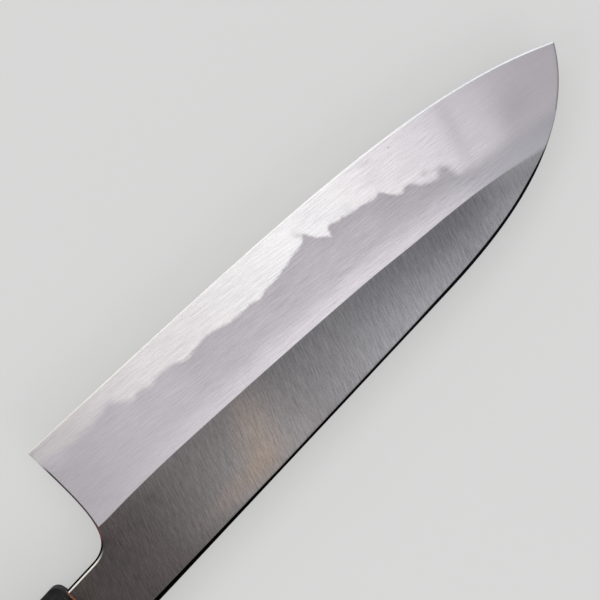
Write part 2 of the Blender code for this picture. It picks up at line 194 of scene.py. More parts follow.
@dataclass(frozen=True)
class BladeShape:
    """Sizes of the blade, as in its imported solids, with the finer forms that only show close up."""

    neck_length: float = 18.5
    neck_height: float = 18.9
    neck_middle: float = 4.0  # x of a point on the lower line of the neck
    heel_height: float = 50.1
    blade_length: float = 168.3
    tip_drop: float = 23.9
    spine_straight: float = 118.9
    edge_heel_reach: Point = (85.8, -6.4)
    edge_tip_reach: Point = (-33.0, 17.5)
    spine_fall_reach: Point = (16.8, 0.0)
    spine_tip_reach: Point = (-15.0, -23.8)
    choil_run: float = 9.1
    choil_neck_reach: Point = (9.1, 0.0)
    choil_heel_reach: Point = (0.0, -22.0)
    shoulder_thickness: float = 3.2
    thin_thickness: float = 1.2
    thin_at: float = 164.9
    land_thickness: float = 0.3
    micro_bevel: float = 0.5
    tang_length: float = 90.0
    tang_height: float = 12.5
    tang_end_height: float = 6.5
    tang_end_thickness: float = 2.2
    handle_axis: float = 9.9
    layer_gap: float = 0.02
    spine_round: Point = (1.1, 0.55)  # width and depth of the rounded rims
    choil_round: Point = (0.4, 0.3)
    neck_round: Point = (1.3, 0.65)
    tip_round: Point = (0.45, 0.2)
    tip_rims: Point = (150.0, 170.0)  # x from which the spine's rim thins, and where it has thinned
    neck_rims: Point = (24.0, 19.5)  # y from which the choil's rim grows, and where it has grown
    rim_fade: float = 1.5  # run over which a rim dies out towards the line of the weld
    most_of_wall: float = 0.55  # share of a layer that its rims may take
    ridge_line: tuple[Point, ...] = (  # x from the shoulders, height over the edge
        (20.0, 26.1), (29.0, 25.6), (41.0, 25.3), (59.0, 25.4), (86.0, 25.7),
        (113.0, 25.9), (125.0, 26.1), (137.0, 25.8), (145.0, 25.6), (157.0, 25.5),
    )
    weld_line: tuple[Point, ...] = (  # the same for the end of the cladding
        (22.1, 4.5), (28.8, 5.8), (33.5, 5.8), (38.2, 5.2), (41.8, 4.6), (43.2, 5.4),
        (44.9, 6.7), (46.0, 7.7), (47.0, 8.1), (49.2, 7.4), (52.9, 8.5), (55.5, 7.9),
        (58.0, 8.2), (61.0, 8.6), (63.3, 9.8), (65.2, 9.8), (67.2, 9.2), (70.5, 8.9),
        (72.9, 9.0), (75.6, 9.8), (77.0, 10.1), (81.4, 10.3), (83.2, 10.5), (85.5, 10.3),
        (87.8, 11.0), (89.0, 10.9), (90.5, 10.3), (94.1, 10.1), (96.0, 9.7), (97.2, 9.1),
        (98.8, 9.2), (102.4, 8.1), (104.6, 7.8), (106.0, 7.1), (106.9, 6.0), (107.5, 6.3),
        (108.2, 7.5), (109.0, 8.7), (110.2, 9.6), (111.2, 10.5), (111.8, 11.1), (112.7, 8.9),
        (113.6, 8.6), (115.0, 8.9), (116.3, 9.2), (117.1, 8.9), (118.0, 9.4), (119.5, 9.6),
        (122.9, 10.0), (126.2, 10.8), (128.4, 10.4), (129.7, 12.2), (130.8, 13.5), (132.1, 14.0),
        (133.2, 13.5), (134.2, 13.2), (135.6, 13.8), (136.8, 15.0), (137.9, 15.7), (139.2, 16.1),
        (140.8, 16.4), (142.0, 15.6), (143.2, 14.6), (144.4, 15.1), (145.0, 17.2), (145.7, 19.0),
        (147.1, 19.3), (148.8, 19.6), (152.1, 19.6), (157.7, 19.5), (163.9, 19.3), (170.9, 18.6),
        (178.9, 18.0),
    )
    weld_step: float = 0.5  # spacing of the points on the line of the weld
    weld_reach: float = 8.0  # how far from it the true distance counts
    weld_lead: float = 2.0  # how far behind the heel its row begins
    weld_counts: float = 1.5  # how far behind the heel it still counts
    straight_step: float = 2.0  # spacing of the points on the straight spine
    spine_steps: int = 80  # points on each of the curves
    edge_steps: int = 150
    choil_steps: int = 40
    _weld: list[Point] = field(default_factory=list, init=False, repr=False, compare=False)

    def __post_init__(self) -> None:
        """Lays the line of the weld out as a row of points."""
        x, end = self.neck_length - self.weld_lead, self.tip_x - 1.0
        while x < end:
            self._weld.append((x, self.edge.y_at(x) - self.weld_height(x)))
            x += self.weld_step

    @property
    def tip_x(self) -> float:
        """The x of the tip."""
        return self.neck_length + self.blade_length

    @property
    def tip(self) -> Point:
        """The end of the tip."""
        return (self.tip_x, self.tip_drop)

    @property
    def heel(self) -> Point:
        """The corner of the heel."""
        return (self.neck_length, self.heel_height)

    @property
    def edge(self) -> Sweep:
        """The cutting edge, from heel to tip."""
        return Sweep.reaching(self.heel, self.edge_heel_reach, self.edge_tip_reach, self.tip)

    @property
    def spine(self) -> Sweep:
        """The spine, from where it begins to fall to the tip."""
        start = (self.spine_straight, 0.0)
        return Sweep.reaching(start, self.spine_fall_reach, self.spine_tip_reach, self.tip)

    @property
    def choil(self) -> Sweep:
        """The back of the heel, from the lower line of the neck to the edge."""
        start = (self.neck_length - self.choil_run, self.neck_height)
        return Sweep.reaching(start, self.choil_neck_reach, self.choil_heel_reach, self.heel)

    def spine_row(self) -> list[Point]:
        """Points along the whole spine, from the shoulders to the tip."""
        count = int(self.spine_straight / self.straight_step)
        return [(self.straight_step * k, 0.0) for k in range(count)] + self.spine.walk(self.spine_steps)

    def edge_row(self) -> list[Point]:
        """Points along the cutting edge, from heel to tip."""
        return self.edge.walk(self.edge_steps)

    def back_row(self) -> list[Point]:
        """Points along the lower line of the neck and the back of the heel, from the shoulders."""
        neck = [(0.0, self.neck_height), (self.neck_middle, self.neck_height)]
        return neck + self.choil.walk(self.choil_steps)

    def ridge_height(self, x: float) -> float:
        """Height of the ridge of the wide bevel over the edge."""
        return smooth_through(self.ridge_line, x)

    def weld_height(self, x: float) -> float:
        """Height of the cladding's end over the edge."""
        return smooth_through(self.weld_line, x)

    def weld_y(self, x: float) -> float:
        """The y at which the cladding ends.

        Args:
            x: Place along the knife.

        Returns:
            The y there, on the row of points that the net has too.
        """
        steps = (x - self._weld[0][0]) / self.weld_step
        i = min(max(int(steps), 0), len(self._weld) - 2)
        (x0, y0), (x1, y1) = self._weld[i], self._weld[i + 1]
        return y0 + (y1 - y0) * (x - x0) / (x1 - x0)

    def past_weld(self, x: float, y: float) -> float:
        """How far a place lies past the end of the cladding, below 0 where it is clad.

        Args:
            x: Place along the knife.
            y: Distance from the line of the spine.

        Returns:
            The distance to the nearest part of the line of the weld.
        """
        down = y - self.weld_y(x)
        if abs(down) > self.weld_reach:
            return down
        near = int((x - self._weld[0][0]) / self.weld_step)
        span = int(self.weld_reach / self.weld_step)
        row = self._weld[max(near - span, 0) : near + span + 2]
        distance = min([abs(down)] + [distance_to(x, y, start, end) for start, end in zip(row, row[1:])])
        return math.copysign(distance, down)

    def flat_half(self, x: float) -> float:
        """Half the thickness of the blade on its flat, and of the tang.

        Args:
            x: Place along the knife, below 0 on the tang.

        Returns:
            The half, which falls evenly from the shoulders both ways.
        """
        end, far = self.thin_thickness, self.thin_at
        if x < 0:
            end, far = self.tang_end_thickness, -self.tang_length
        return (self.shoulder_thickness + (end - self.shoulder_thickness) * x / far) / 2

    def outer_half(self, x: float, over_edge: float) -> float:
        """Half the thickness of the whole blade, without its rounded rims.

        Args:
            x: Place along the knife.
            over_edge: Height over the cutting edge.

        Returns:
            The flat, the wide bevel or the last bevel, whichever is thinnest there.
        """
        half = self.flat_half(x)
        land = self.land_thickness / 2
        slope = (half - land) / self.ridge_height(x)
        if over_edge < self.micro_bevel:
            return (land + self.micro_bevel * slope) * max(over_edge, 0.0) / self.micro_bevel
        return min(half, land + over_edge * slope)

    def weld_half(self, x: float) -> float:
        """Half the thickness of the core where the cladding lies on it."""
        seen_x = max(x, self.neck_length)
        return self.outer_half(seen_x, self.edge.y_at(seen_x) - self.weld_y(seen_x))

    def outline(self) -> list[Point]:
        """The outline of the whole bar, round from the spine at the shoulders, over the tip and the heel.

        Returns:
            Its points, the tang's last.
        """
        front, back = self.tang_height / 2, self.tang_end_height / 2
        points = self.spine_row() + self.edge_row()[::-1][1:] + self.back_row()[::-1][1:]
        tang = ((0.0, front), (-self.tang_length, back), (-self.tang_length, -back), (0.0, -front))
        return points + [(x, self.handle_axis + y) for x, y in tang]


@dataclass
class NetPoint:
    """A point of the blade's net, with where it lies against each line of the blade."""

    x: float
    y: float
    over_edge: float
    past_ridge: float
    past_weld: float
    off_spine: float
    off_choil: float


class BladeNet:
    """The triangles that all layers of the blade share, seen from the left."""

    SPINE_ROWS = (0.06, 0.15, 0.3, 0.5, 0.75, 1.1, 1.3)
    CHOIL_ROWS = (0.05, 0.12, 0.24, 0.4, 0.58, 0.75, 0.92)
    RIDGE_ROWS = (-0.22, 0.0, 0.22)
    LAND_ROWS = (0.2, 0.35, 0.5, 0.64)
    WELD_ROWS = (-1.0, -0.45, 0.0, 0.45, 1.0)
    RIDGE_START = 10.0  # x at which the rows of the ridge begin
    OFF_SPINE, OFF_EDGE, OFF_ENDS = 0.05, 0.8, 0.2  # how far the rows stay off these lines
    GRID = 2.4
    GRID_TOP, GRID_FOOT, GRID_BACK = 2.2, 1.4, 2.4  # how far the grid stays off spine, edge and choil
    CLADDING_END_ON_NECK = 46.0  # y past which the neck would be bare
    CHOIL_SEEN = 30.0  # x up to which the distance from the choil counts
    ON_LINE = 1e-3  # distance under which a point lies on the line of the weld
    INSIDE = 1  # the kind of triangulation that fills the outline and nothing more
    MERGED = 1e-4  # distance under which points become one

    def __init__(self, shape: BladeShape) -> None:
        """Lays the net.

        Args:
            shape: The sizes of the blade.
        """
        self.shape = shape
        self.back_row = shape.back_row()
        outline = shape.outline()
        places = [Vector(point) for point in outline]
        bonds: list[tuple[int, int]] = []
        for row in self.rows():
            start = len(places)
            places += [Vector(point) for point in row]
            bonds += [(start + k, start + k + 1) for k in range(len(row) - 1)]
        places += [Vector(point) for point in self.grid()]
        ring = list(range(len(outline)))
        made = delaunay_2d_cdt(places, bonds, [ring], self.INSIDE, self.MERGED)
        flat, faces, sources = made[0], made[2], made[5]
        kept = [face for face, source in zip(faces, sources) if source]
        used = sorted({k for face in kept for k in face})
        place_of = {old: new for new, old in enumerate(used)}
        self.points = [self.measure(flat[k].x, flat[k].y) for k in used]
        self.triangles = [self.turned([place_of[k] for k in face]) for face in kept]

    def rows(self) -> Iterable[list[Point]]:
        """The rows of points that the triangles follow.

        Returns:
            One list of points for each row.
        """
        shape = self.shape
        edge_row, spine_row = shape.edge_row(), shape.spine_row()
        for shift in self.RIDGE_ROWS:
            starts = [(self.RIDGE_START, shape.edge.y_at(self.RIDGE_START))] + edge_row
            yield [(x, y - shape.ridge_height(x) + shift) for x, y in starts]
        for shift in self.LAND_ROWS:
            yield [(x, y - shift) for x, y in edge_row]
        for shift in self.WELD_ROWS:
            yield [(x, y + shift) for x, y in shape._weld if self.on_bevel(x, y + shift)]
        for inset in self.SPINE_ROWS:
            yield self.inset_row(spine_row, inset)
        for inset in self.CHOIL_ROWS:
            yield self.inset_row(self.back_row, -inset)

    def on_bevel(self, x: float, y: float) -> bool:
        """Whether a place lies on the wide bevel, clear of the spine."""
        return self.shape.spine.y_at(x) + self.OFF_SPINE < y < self.shape.edge.y_at(x) - self.OFF_EDGE

    def inset_row(self, line: Sequence[Point], inset: float) -> list[Point]:
        """A row of points beside a line.

        Args:
            line: The points of the line.
            inset: Distance to its left, seen along it, or to its right where it is below 0.

        Returns:
            The points that lie on the blade.
        """
        row = []
        for k, (x, y) in enumerate(line):
            before, after = line[max(k - 1, 0)], line[min(k + 1, len(line) - 1)]
            run, rise = after[0] - before[0], after[1] - before[1]
            length = math.hypot(run, rise)
            place = (x - rise / length * inset, y + run / length * inset)
            if self.shape.edge.y_at(place[0]) - place[1] > self.OFF_ENDS and place[0] < self.shape.tip_x:
                row.append(place)
        return row

    def grid(self) -> list[Point]:
        """Points spread over the faces, clear of the rims.

        Returns:
            The points, column by column.
        """
        shape = self.shape
        spread = []
        for column in range(1, int(shape.tip_x / self.GRID)):
            x = column * self.GRID
            top = shape.spine.y_at(x) + self.GRID_TOP
            on_neck = x < shape.neck_length
            foot = shape.choil.y_at(x) - self.GRID_BACK if on_neck else shape.edge.y_at(x) - self.GRID_FOOT
            count = int((foot - top) / self.GRID)
            spread += [(x, top + (foot - top) * k / count) for k in range(count + 1)] if count > 0 else []
        return spread

    def turned(self, face: list[int]) -> list[int]:
        """A triangle's corners, put in the order that faces up.

        Args:
            face: The corners.

        Returns:
            The same corners, turned round where they faced down.
        """
        a, b, c = (self.points[k] for k in face)
        area = (b.x - a.x) * (c.y - a.y) - (c.x - a.x) * (b.y - a.y)
        return face if area > 0 else face[::-1]

    def measure(self, x: float, y: float) -> NetPoint:
        """Finds where a point lies on the blade.

        Args:
            x: Place along the knife.
            y: Distance from the line of the spine.

        Returns:
            The point with its distances.
        """
        shape = self.shape
        over_edge = shape.edge.y_at(x) - y
        slope = shape.spine.slope_at(x) if x > shape.spine_straight else 0.0
        on_blade = x > shape.neck_length - shape.weld_counts
        past_weld = shape.past_weld(x, y) if on_blade else y - self.CLADDING_END_ON_NECK
        return NetPoint(
            x=x,
            y=y,
            over_edge=over_edge,
            past_ridge=shape.ridge_height(x) - over_edge,
            past_weld=0.0 if abs(past_weld) < self.ON_LINE else past_weld,
            off_spine=(y - shape.spine.y_at(x)) / math.hypot(1.0, slope),
            off_choil=self.to_back(x, y) if x < self.CHOIL_SEEN else self.CHOIL_SEEN,
        )

    def to_back(self, x: float, y: float) -> float:
        """The distance of a point from the lower line of the neck and the back of the heel."""
        return min(distance_to(x, y, start, end) for start, end in zip(self.back_row, self.back_row[1:]))

    def is_clad(self, face: Sequence[int]) -> bool:
        """Whether a triangle lies under the cladding."""
        return sum(self.points[k].past_weld for k in face) < 0


def into_scene(name: str, data: bpy.types.ID) -> bpy.types.Object:
    """Makes an object in the scene.

    Args:
        name: Its name.
        data: Its mesh, light or camera.

    Returns:
        The object.
    """
    made = bpy.data.objects.new(name, data)
    bpy.context.scene.collection.objects.link(made)
    return made


class PieceMaker:
    """Turns points on the knife line into objects of the scene that ride on the frame."""

    def __init__(self, shape: BladeShape) -> None:
        """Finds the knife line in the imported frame.

        Args:
            shape: The sizes of the blade, whose tip and heel fix the line.
        """
        low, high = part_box("core_steel")
        middle = (low[2] + high[2]) / 2
        self.origin = Vector((high[0] - shape.tip_x * MM, high[1] - shape.heel_height * MM, middle))

    def world(self, place: Place) -> Vector:
        """A place on the knife line, in the frame."""
        return self.origin + Vector(place) * MM

    def piece(
        self, mesh: bpy.types.Mesh, slot: str, nodes: Sequence[str], finish: bpy.types.Material
    ) -> None:
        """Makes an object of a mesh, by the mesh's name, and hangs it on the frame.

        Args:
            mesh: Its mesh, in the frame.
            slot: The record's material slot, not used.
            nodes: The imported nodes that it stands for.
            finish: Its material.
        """
        mesh.materials.append(finish)
        made = into_scene(mesh.name, mesh)
        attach(made, "root")
        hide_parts(*nodes)
        LOG.info("%s: %d faces, for %s", made.name, len(mesh.polygons), ", ".join(nodes))


class Blade:
    """The blade: a hard core, bare along the edge, between two soft claddings."""

    NECK_FROM = -0.01  # x from which the neck has a rounded rim below

    def __init__(self, shape: BladeShape, maker: PieceMaker) -> None:
        """Lays the net of the blade.

        Args:
            shape: The sizes of the blade.
            maker: Places the pieces in the frame.
        """
        self.shape = shape
        self.maker = maker
        self.net = BladeNet(shape)

    def rim_drop(self, point: NetPoint, wall: float) -> float:
        """How far the rounded rims take the face down at a point.

        Args:
            point: The point.
            wall: Thickness that the rims may take from.

        Returns:
            The drop of the spine's and the choil's rounding together.
        """
        shape = self.shape
        drops = [0.0]
        for off, share, first, second in (
            (point.off_spine, between(point.x, *shape.tip_rims), shape.spine_round, shape.tip_round),
            (point.off_choil, between(point.y, *shape.neck_rims), shape.choil_round, shape.neck_round),
        ):
            width, depth = (a + (b - a) * share for a, b in zip(first, second))
            drops.append(rounding(off, width, min(depth, wall * shape.most_of_wall)))
        return max(drops if point.x > self.NECK_FROM else drops[:2])

    def core_half(self, point: NetPoint) -> float:
        """Half the thickness of the core at a point of the net.

        Args:
            point: The point.

        Returns:
            The height of the core's face over the middle of the blade.
        """
        outer = self.shape.outer_half(point.x, point.over_edge)
        if point.past_weld < 0:
            inner = self.shape.weld_half(point.x)
            return inner - min(self.shape.layer_gap, max(outer - inner, 0.0) / 2)
        return outer - self.rim_drop(point, outer) * between(point.past_weld, 0.0, self.shape.rim_fade)

    def cladding_faces(self, point: NetPoint) -> tuple[float, float]:
        """The inner and the outer height of the left cladding at a point of the net.

        Args:
            point: The point.

        Returns:
            Both heights.
        """
        outer = self.shape.outer_half(point.x, point.over_edge)
        inner = min(self.shape.weld_half(point.x), outer)
        return inner, outer - self.rim_drop(point, outer - inner)

    def mesh_of(
        self, name: str, faces: list[list[int]], heights: dict[int, tuple[float, float]], side: Side
    ) -> bpy.types.Mesh:
        """Makes a closed plate of two height fields over part of the net.

        Args:
            name: Name of the mesh.
            faces: The triangles of the net that it covers.
            heights: The lower and the upper z at each point that they use.
            side: The face of the blade, which turns the plate over for the right one.

        Returns:
            The mesh, with the lay of each point as attributes.
        """
        places: list[Vector] = []
        rows: list[NetPoint] = []
        below: dict[int, int] = {}
        above: dict[int, int] = {}
        for k, (low, high) in heights.items():
            point = self.net.points[k]
            for index, z in ((below, low), (above, high)):
                if index is above and high - low < NO_WALL:
                    above[k] = below[k]
                    continue
                index[k] = len(places)
                places.append(self.maker.world((point.x, point.y, z * side.value)))
                rows.append(point)
        skins = [[above[k] for k in face] for face in faces]
        skins += [[below[k] for k in reversed(face)] for face in faces]
        walks = {(face[i], face[(i + 1) % 3]) for face in faces for i in range(3)}
        for a, b in walks:
            wall = list(dict.fromkeys((above[b], above[a], below[a], below[b])))
            if (b, a) not in walks and len(wall) > 2:
                skins.append(wall)
        if side is Side.RIGHT:
            skins = [face[::-1] for face in skins]
        mesh = bpy.data.meshes.new(name)
        mesh.from_pydata(places, [], skins)
        mesh.validate()
        self.write_lay(mesh, rows)
        mesh.shade_smooth()
        mesh.set_sharp_from_angle(angle=SMOOTH_UNDER)
        for bond in mesh.edges:
            if all(rows[k].past_weld == 0.0 for k in bond.vertices):
                bond.use_edge_sharp = True
        return mesh

    def write_lay(self, mesh: bpy.types.Mesh, rows: list[NetPoint]) -> None:
        """Writes where each point lies on the blade as attributes, for the finishes.

        Args:
            mesh: The mesh.
            rows: The net's point of each of its points.
        """
        lay = mesh.attributes.new("lay", "FLOAT_VECTOR", "POINT")
        for k, row in enumerate(rows):
            lay.data[k].vector = (row.x, row.over_edge, row.y)
        for name in ("past_ridge", "past_weld", "off_spine", "off_choil"):
            values = mesh.attributes.new(name, "FLOAT", "POINT")
            for k, row in enumerate(rows):
                values.data[k].value = getattr(row, name)

    def build_core(self, finish: bpy.types.Material) -> None:
        """Makes the core.

        Args:
            finish: Its material.
        """
        halves = {k: self.core_half(point) for k, point in enumerate(self.net.points)}
        heights = {k: (-half, half) for k, half in halves.items()}
        mesh = self.mesh_of("blade_core", self.net.triangles, heights, Side.LEFT)
        self.maker.piece(mesh, "hard_steel", ["core_steel"], finish)

    def build_cladding(self, side: Side, finish: bpy.types.Material) -> None:
        """Makes a cladding.

        Args:
            side: The face of the blade that it lies on.
            finish: Its material.
        """
        faces = [face for face in self.net.triangles if self.net.is_clad(face)]
        used = sorted({k for face in faces for k in face})
        heights = {k: self.cladding_faces(self.net.points[k]) for k in used}
        node = f"cladding_{side.name.lower()}"
        mesh = self.mesh_of(f"blade_{node}", faces, heights, side)
        self.maker.piece(mesh, "soft_steel", [node], finish)


@dataclass(frozen=True)
class HandleShape:
    """Sizes of the octagonal handle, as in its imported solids."""

    axis: float = 9.9
    width: float = 20.0
    mouth_height: float = 24.7
    butt_height: float = 26.2
    corner_cut: float = 5.5
    mouth_x: float = -0.35
    ferrule_length: float = 30.0
    joint_gap: float = 0.05
    grip_length: float = 102.0
    rim_round: float = 2.6
    butt_round: float = 1.6
    joint_round: float = 0.22
    corner_round: float = 0.7
    corner_guard: float = 0.35  # how far beside a corner a point keeps the facet flat
    rim_guard: float = 0.3  # the same beside a rim
    dowel_bore: float = 15.6
    dowel_in_grip: float = 22.0
    seal_height: float = 18.26
    seal_width: float = 5.46
    seal_depth: float = 3.0
    seal_room: float = 0.04  # between the seal and the mouth, across both sides
    mouth_chamfer: Point = (0.12, 0.2)  # depth, and growth across both sides
    slot_height: float = 13.1
    slot_width: float = 3.8
    slot_end_height: float = 7.1
    slot_end_width: float = 2.8
    slot_end_x: float = -90.3
    slot_loss: Point = (2.0, 0.3)  # height and width that the slot has lost at the end of the dowel
    bore_play: float = 0.05  # behind the dowel
    floor_play: float = 0.1  # between the depth of the seal and the floor of the mouth
    floor_run: float = 0.8  # from that floor to the full bore
    back_play: float = 0.05  # of the back of the seal
    neck_thickness: float = 3.2
    neck_room: float = 0.02
    shoulder_x: float = -0.03  # the x behind which the seal stays where the neck covers it
    throat_x: Point = (-0.06, -0.8)  # where the hole of the seal is widened from neck to slot
    throat_loss: float = 0.5  # height that the hole lacks at the neck
    bead: tuple[Point, ...] = (  # x of each ring of the seal's bead, and how far it is drawn in
        (-0.41, 0.0), (-0.22, 0.07), (-0.05, 0.24), (0.08, 0.5), (0.14, 0.78)
    )

    @property
    def joint_x(self) -> float:
        """The x of the ferrule's back face."""
        return self.mouth_x - self.ferrule_length

    @property
    def grip_x(self) -> float:
        """The x of the grip's front face."""
        return self.joint_x - self.joint_gap

    @property
    def butt_x(self) -> float:
        """The x of the butt."""
        return self.grip_x - self.grip_length

    def height(self, x: float) -> float:
        """Height of the handle at x, which grows evenly towards the butt."""
        share = (self.mouth_x - x) / (self.mouth_x - self.butt_x)
        return self.mouth_height + (self.butt_height - self.mouth_height) * share

    def octagon(self, x: float, inset: float) -> list[Point]:
        """The octagonal section with softened corners.

        Args:
            x: Place along the knife.
            inset: How far it is drawn in on all sides.

        Returns:
            Its points in y and z, about the axis of the handle.
        """
        high, wide = self.height(x) / 2 - inset, self.width / 2 - inset
        cut = self.corner_cut - (2 - math.sqrt(2)) * inset
        quarter = [(high, wide - cut), (high - cut, wide)]
        corners = quarter + [(-y, z) for y, z in reversed(quarter)]
        corners += [(-y, -z) for y, z in corners]
        reach = self.corner_round * math.tan(math.pi / 8)
        guard = self.corner_guard
        ring: list[Point] = []
        for k, corner in enumerate(corners):
            here = Vector(corner)
            back, ahead = ((Vector(corners[(k + step) % 8]) - here).normalized() for step in (-1, 1))
            start, end = here + back * reach, here + ahead * reach
            ring.append(tuple(start + back * guard))
            for t in (0.0, 1 / 3, 2 / 3, 1.0):
                ring.append(tuple(start * (1 - t) ** 2 + here * 2 * t * (1 - t) + end * t * t))
            before, after = end + ahead * guard, Vector(corners[(k + 1) % 8]) - ahead * (reach + guard)
            ring += [tuple(before.lerp(after, t)) for t in (0.0, 0.25, 0.5, 0.75)]
        return ring

    def placed(self, x: float, ring: Sequence[Point]) -> list[Place]:
        """A ring of points about the axis, set on the knife line."""
        return [(x, self.axis + y, z) for y, z in ring]

    def ring(self, x: float, inset: float = 0.0) -> list[Place]:
        """The octagonal section at x, set on the knife line."""
        return self.placed(x, self.octagon(x, inset))

    def inner_ring(self, x: float, reach: Callable[[float, float], float]) -> list[Place]:
        """An opening's section, with a point in the direction of each of the octagon's.

        Args:
            x: Place along the knife.
            reach: Gives the distance of the opening's wall from the axis in a direction in y and z.

        Returns:
            Its points on the knife line.
        """
        ring = []
        for y, z in self.octagon(self.mouth_x, self.rim_round):
            length = math.hypot(y, z)
            far = reach(y / length, z / length)
            ring.append((y / length * far, z / length * far))
        return self.placed(x, ring)


def oblong_reach(height: float, width: float) -> Callable[[float, float], float]:
    """The wall of an opening with round ends.

    Args:
        height: Its whole height, in y.
        width: Its whole width, in z.

    Returns:
        A function from a direction to the distance of the wall.
    """
    radius = width / 2
    middle = height / 2 - radius

    def reach(y: float, z: float) -> float:
        """The distance of the wall in a direction.

        Args:
            y: The direction's share in y.
            z: Its share in z.

        Returns:
            The distance.
        """
        side = radius / max(abs(z), NEXT_TO_NOTHING)
        if side * abs(y) <= middle:
            return side
        return middle * abs(y) + math.sqrt(max(radius**2 - (middle * z) ** 2, 0.0))

    return reach


def box_reach(height: float, width: float) -> Callable[[float, float], float]:
    """The wall of an opening with four corners, as oblong_reach gives it for round ends."""
    tiny = NEXT_TO_NOTHING
    return lambda y, z: min(height / 2 / max(abs(y), tiny), width / 2 / max(abs(z), tiny))


def round_reach(diameter: float) -> Callable[[float, float], float]:
    """The wall of a round bore, as oblong_reach gives it for round ends."""
    return lambda y, z: diameter / 2


class Handle:
    """The handle: a horn ferrule and a wooden grip on a dowel, with an amber seal in the mouth."""

    RIM_STEPS = 8

    def __init__(self, shape: HandleShape, maker: PieceMaker) -> None:
        """Keeps the sizes and what places the pieces in the frame."""
        self.shape = shape
        self.maker = maker

    def rim(self, x: float, radius: float, forward: int) -> list[list[Place]]:
        """The rings of a rounded rim, from the end face to the side.

        Args:
            x: Place of the end face.
            radius: Radius of the rim.
            forward: 1 where the end faces the tip, and -1 where it faces the butt.

        Returns:
            The rings, with one more on either side that keeps the flats flat.
        """
        ring = self.shape.ring
        guard = min(self.shape.rim_guard, radius)
        rings = [ring(x, radius + guard)]
        for k in range(self.RIM_STEPS + 1):
            angle = math.pi / 2 * k / self.RIM_STEPS
            rings.append(ring(x - forward * radius * (1 - math.cos(angle)), radius * (1 - math.sin(angle))))
        return rings + [ring(x - forward * (radius + guard))]

    def mesh_of(self, name: str, rings: list[list[Place]], closed: bool) -> bpy.types.Mesh:
        """Makes a closed body through rings of equally many points.

        Args:
            name: Name of the mesh.
            rings: The rings, in order.
            closed: Whether the last ring joins the first; else both ends are filled.

        Returns:
            The mesh.
        """
        bm = bmesh.new()
        rows = [[bm.verts.new(self.maker.world(place)) for place in ring] for ring in rings]
        pairs = list(zip(rows, rows[1:])) + ([(rows[-1], rows[0])] if closed else [])
        for row, after in pairs:
            for k in range(len(row)):
                n = (k + 1) % len(row)
                bm.faces.new((row[k], row[n], after[n], after[k]))
        if not closed:
            bm.faces.new(rows[0])
            bm.faces.new(rows[-1][::-1])
        bmesh.ops.recalc_face_normals(bm, faces=bm.faces)
        mesh = bpy.data.meshes.new(name)
        bm.to_mesh(mesh)
        bm.free()
        mesh.shade_smooth()
        mesh.set_sharp_from_angle(angle=SMOOTH_UNDER)
        return mesh

    def build_ferrule(self, finish: bpy.types.Material) -> None:
        """Makes the horn ferrule, with its mouth and the bore for the dowel.

        Args:
            finish: Its material.
        """
        shape = self.shape
        mouth, lip = (
            oblong_reach(shape.seal_height + room, shape.seal_width + room)
            for room in (shape.seal_room, shape.mouth_chamfer[1])
        )
        bore = round_reach(shape.dowel_bore)
        floor_x = shape.mouth_x - shape.seal_depth - shape.floor_play
        rings = self.rim(shape.mouth_x, shape.rim_round, 1)
        rings += self.rim(shape.joint_x, shape.joint_round, -1)[::-1]
        rings += [
            shape.inner_ring(shape.joint_x, bore),
            shape.inner_ring(floor_x - shape.floor_run, bore),
            shape.inner_ring(floor_x, mouth),
            shape.inner_ring(shape.mouth_x - shape.mouth_chamfer[0], mouth),
            shape.inner_ring(shape.mouth_x, lip),
        ]
        mesh = self.mesh_of("horn_ferrule", rings, closed=True)
        self.maker.piece(mesh, "black_horn", ["ferrule"], finish)

    def build_grip(self, finish: bpy.types.Material) -> None:
        """Makes the wooden grip, with the bore for the dowel and the slot for the tang.

        Args:
            finish: Its material.
        """
        shape = self.shape
        bore = round_reach(shape.dowel_bore)
        floor_x = shape.grip_x - shape.dowel_in_grip - shape.bore_play
        height, width = shape.slot_height - shape.slot_loss[0], shape.slot_width - shape.slot_loss[1]
        rings = [
            shape.inner_ring(shape.slot_end_x, box_reach(shape.slot_end_height, shape.slot_end_width)),
            shape.inner_ring(floor_x, box_reach(height, width)),
            shape.inner_ring(floor_x, bore),
            shape.inner_ring(shape.grip_x, bore),
        ]
        rings += self.rim(shape.grip_x, shape.joint_round, 1)
        rings += self.rim(shape.butt_x, shape.butt_round, -1)[::-1]
        mesh = self.mesh_of("grip_body", rings, closed=False)
        self.maker.piece(mesh, "magnolia_wood", ["handle_body"], finish)

    def build_seal(self, finish: bpy.types.Material) -> None:
        """Makes the amber seal, a bead that fills the mouth and hugs the neck.

        Args:
            finish: Its material.
        """
        shape = self.shape
        neck = shape.neck_thickness / 2 + shape.neck_room
        slot = box_reach(shape.slot_height, shape.slot_width)
        back_x = shape.mouth_x - shape.seal_depth + shape.back_play
        rings = []
        for bead_x, inset in ((back_x, 0.0), *shape.bead):
            reach = oblong_reach(shape.seal_height - 2 * inset, shape.seal_width - 2 * inset)
            ring = shape.inner_ring(bead_x, reach)
            rings.append([(min(x, shape.shoulder_x) if abs(z) < neck else x, y, z) for x, y, z in ring])
        rings += [
            shape.inner_ring(shape.throat_x[0], box_reach(shape.slot_height - shape.throat_loss, 2 * neck)),
            shape.inner_ring(shape.throat_x[1], slot),
            shape.inner_ring(back_x, slot),
        ]
        mesh = self.mesh_of("seal_bead", rings, closed=True)
        self.maker.piece(mesh, "amber_resin", ["mouth_seal"], finish)


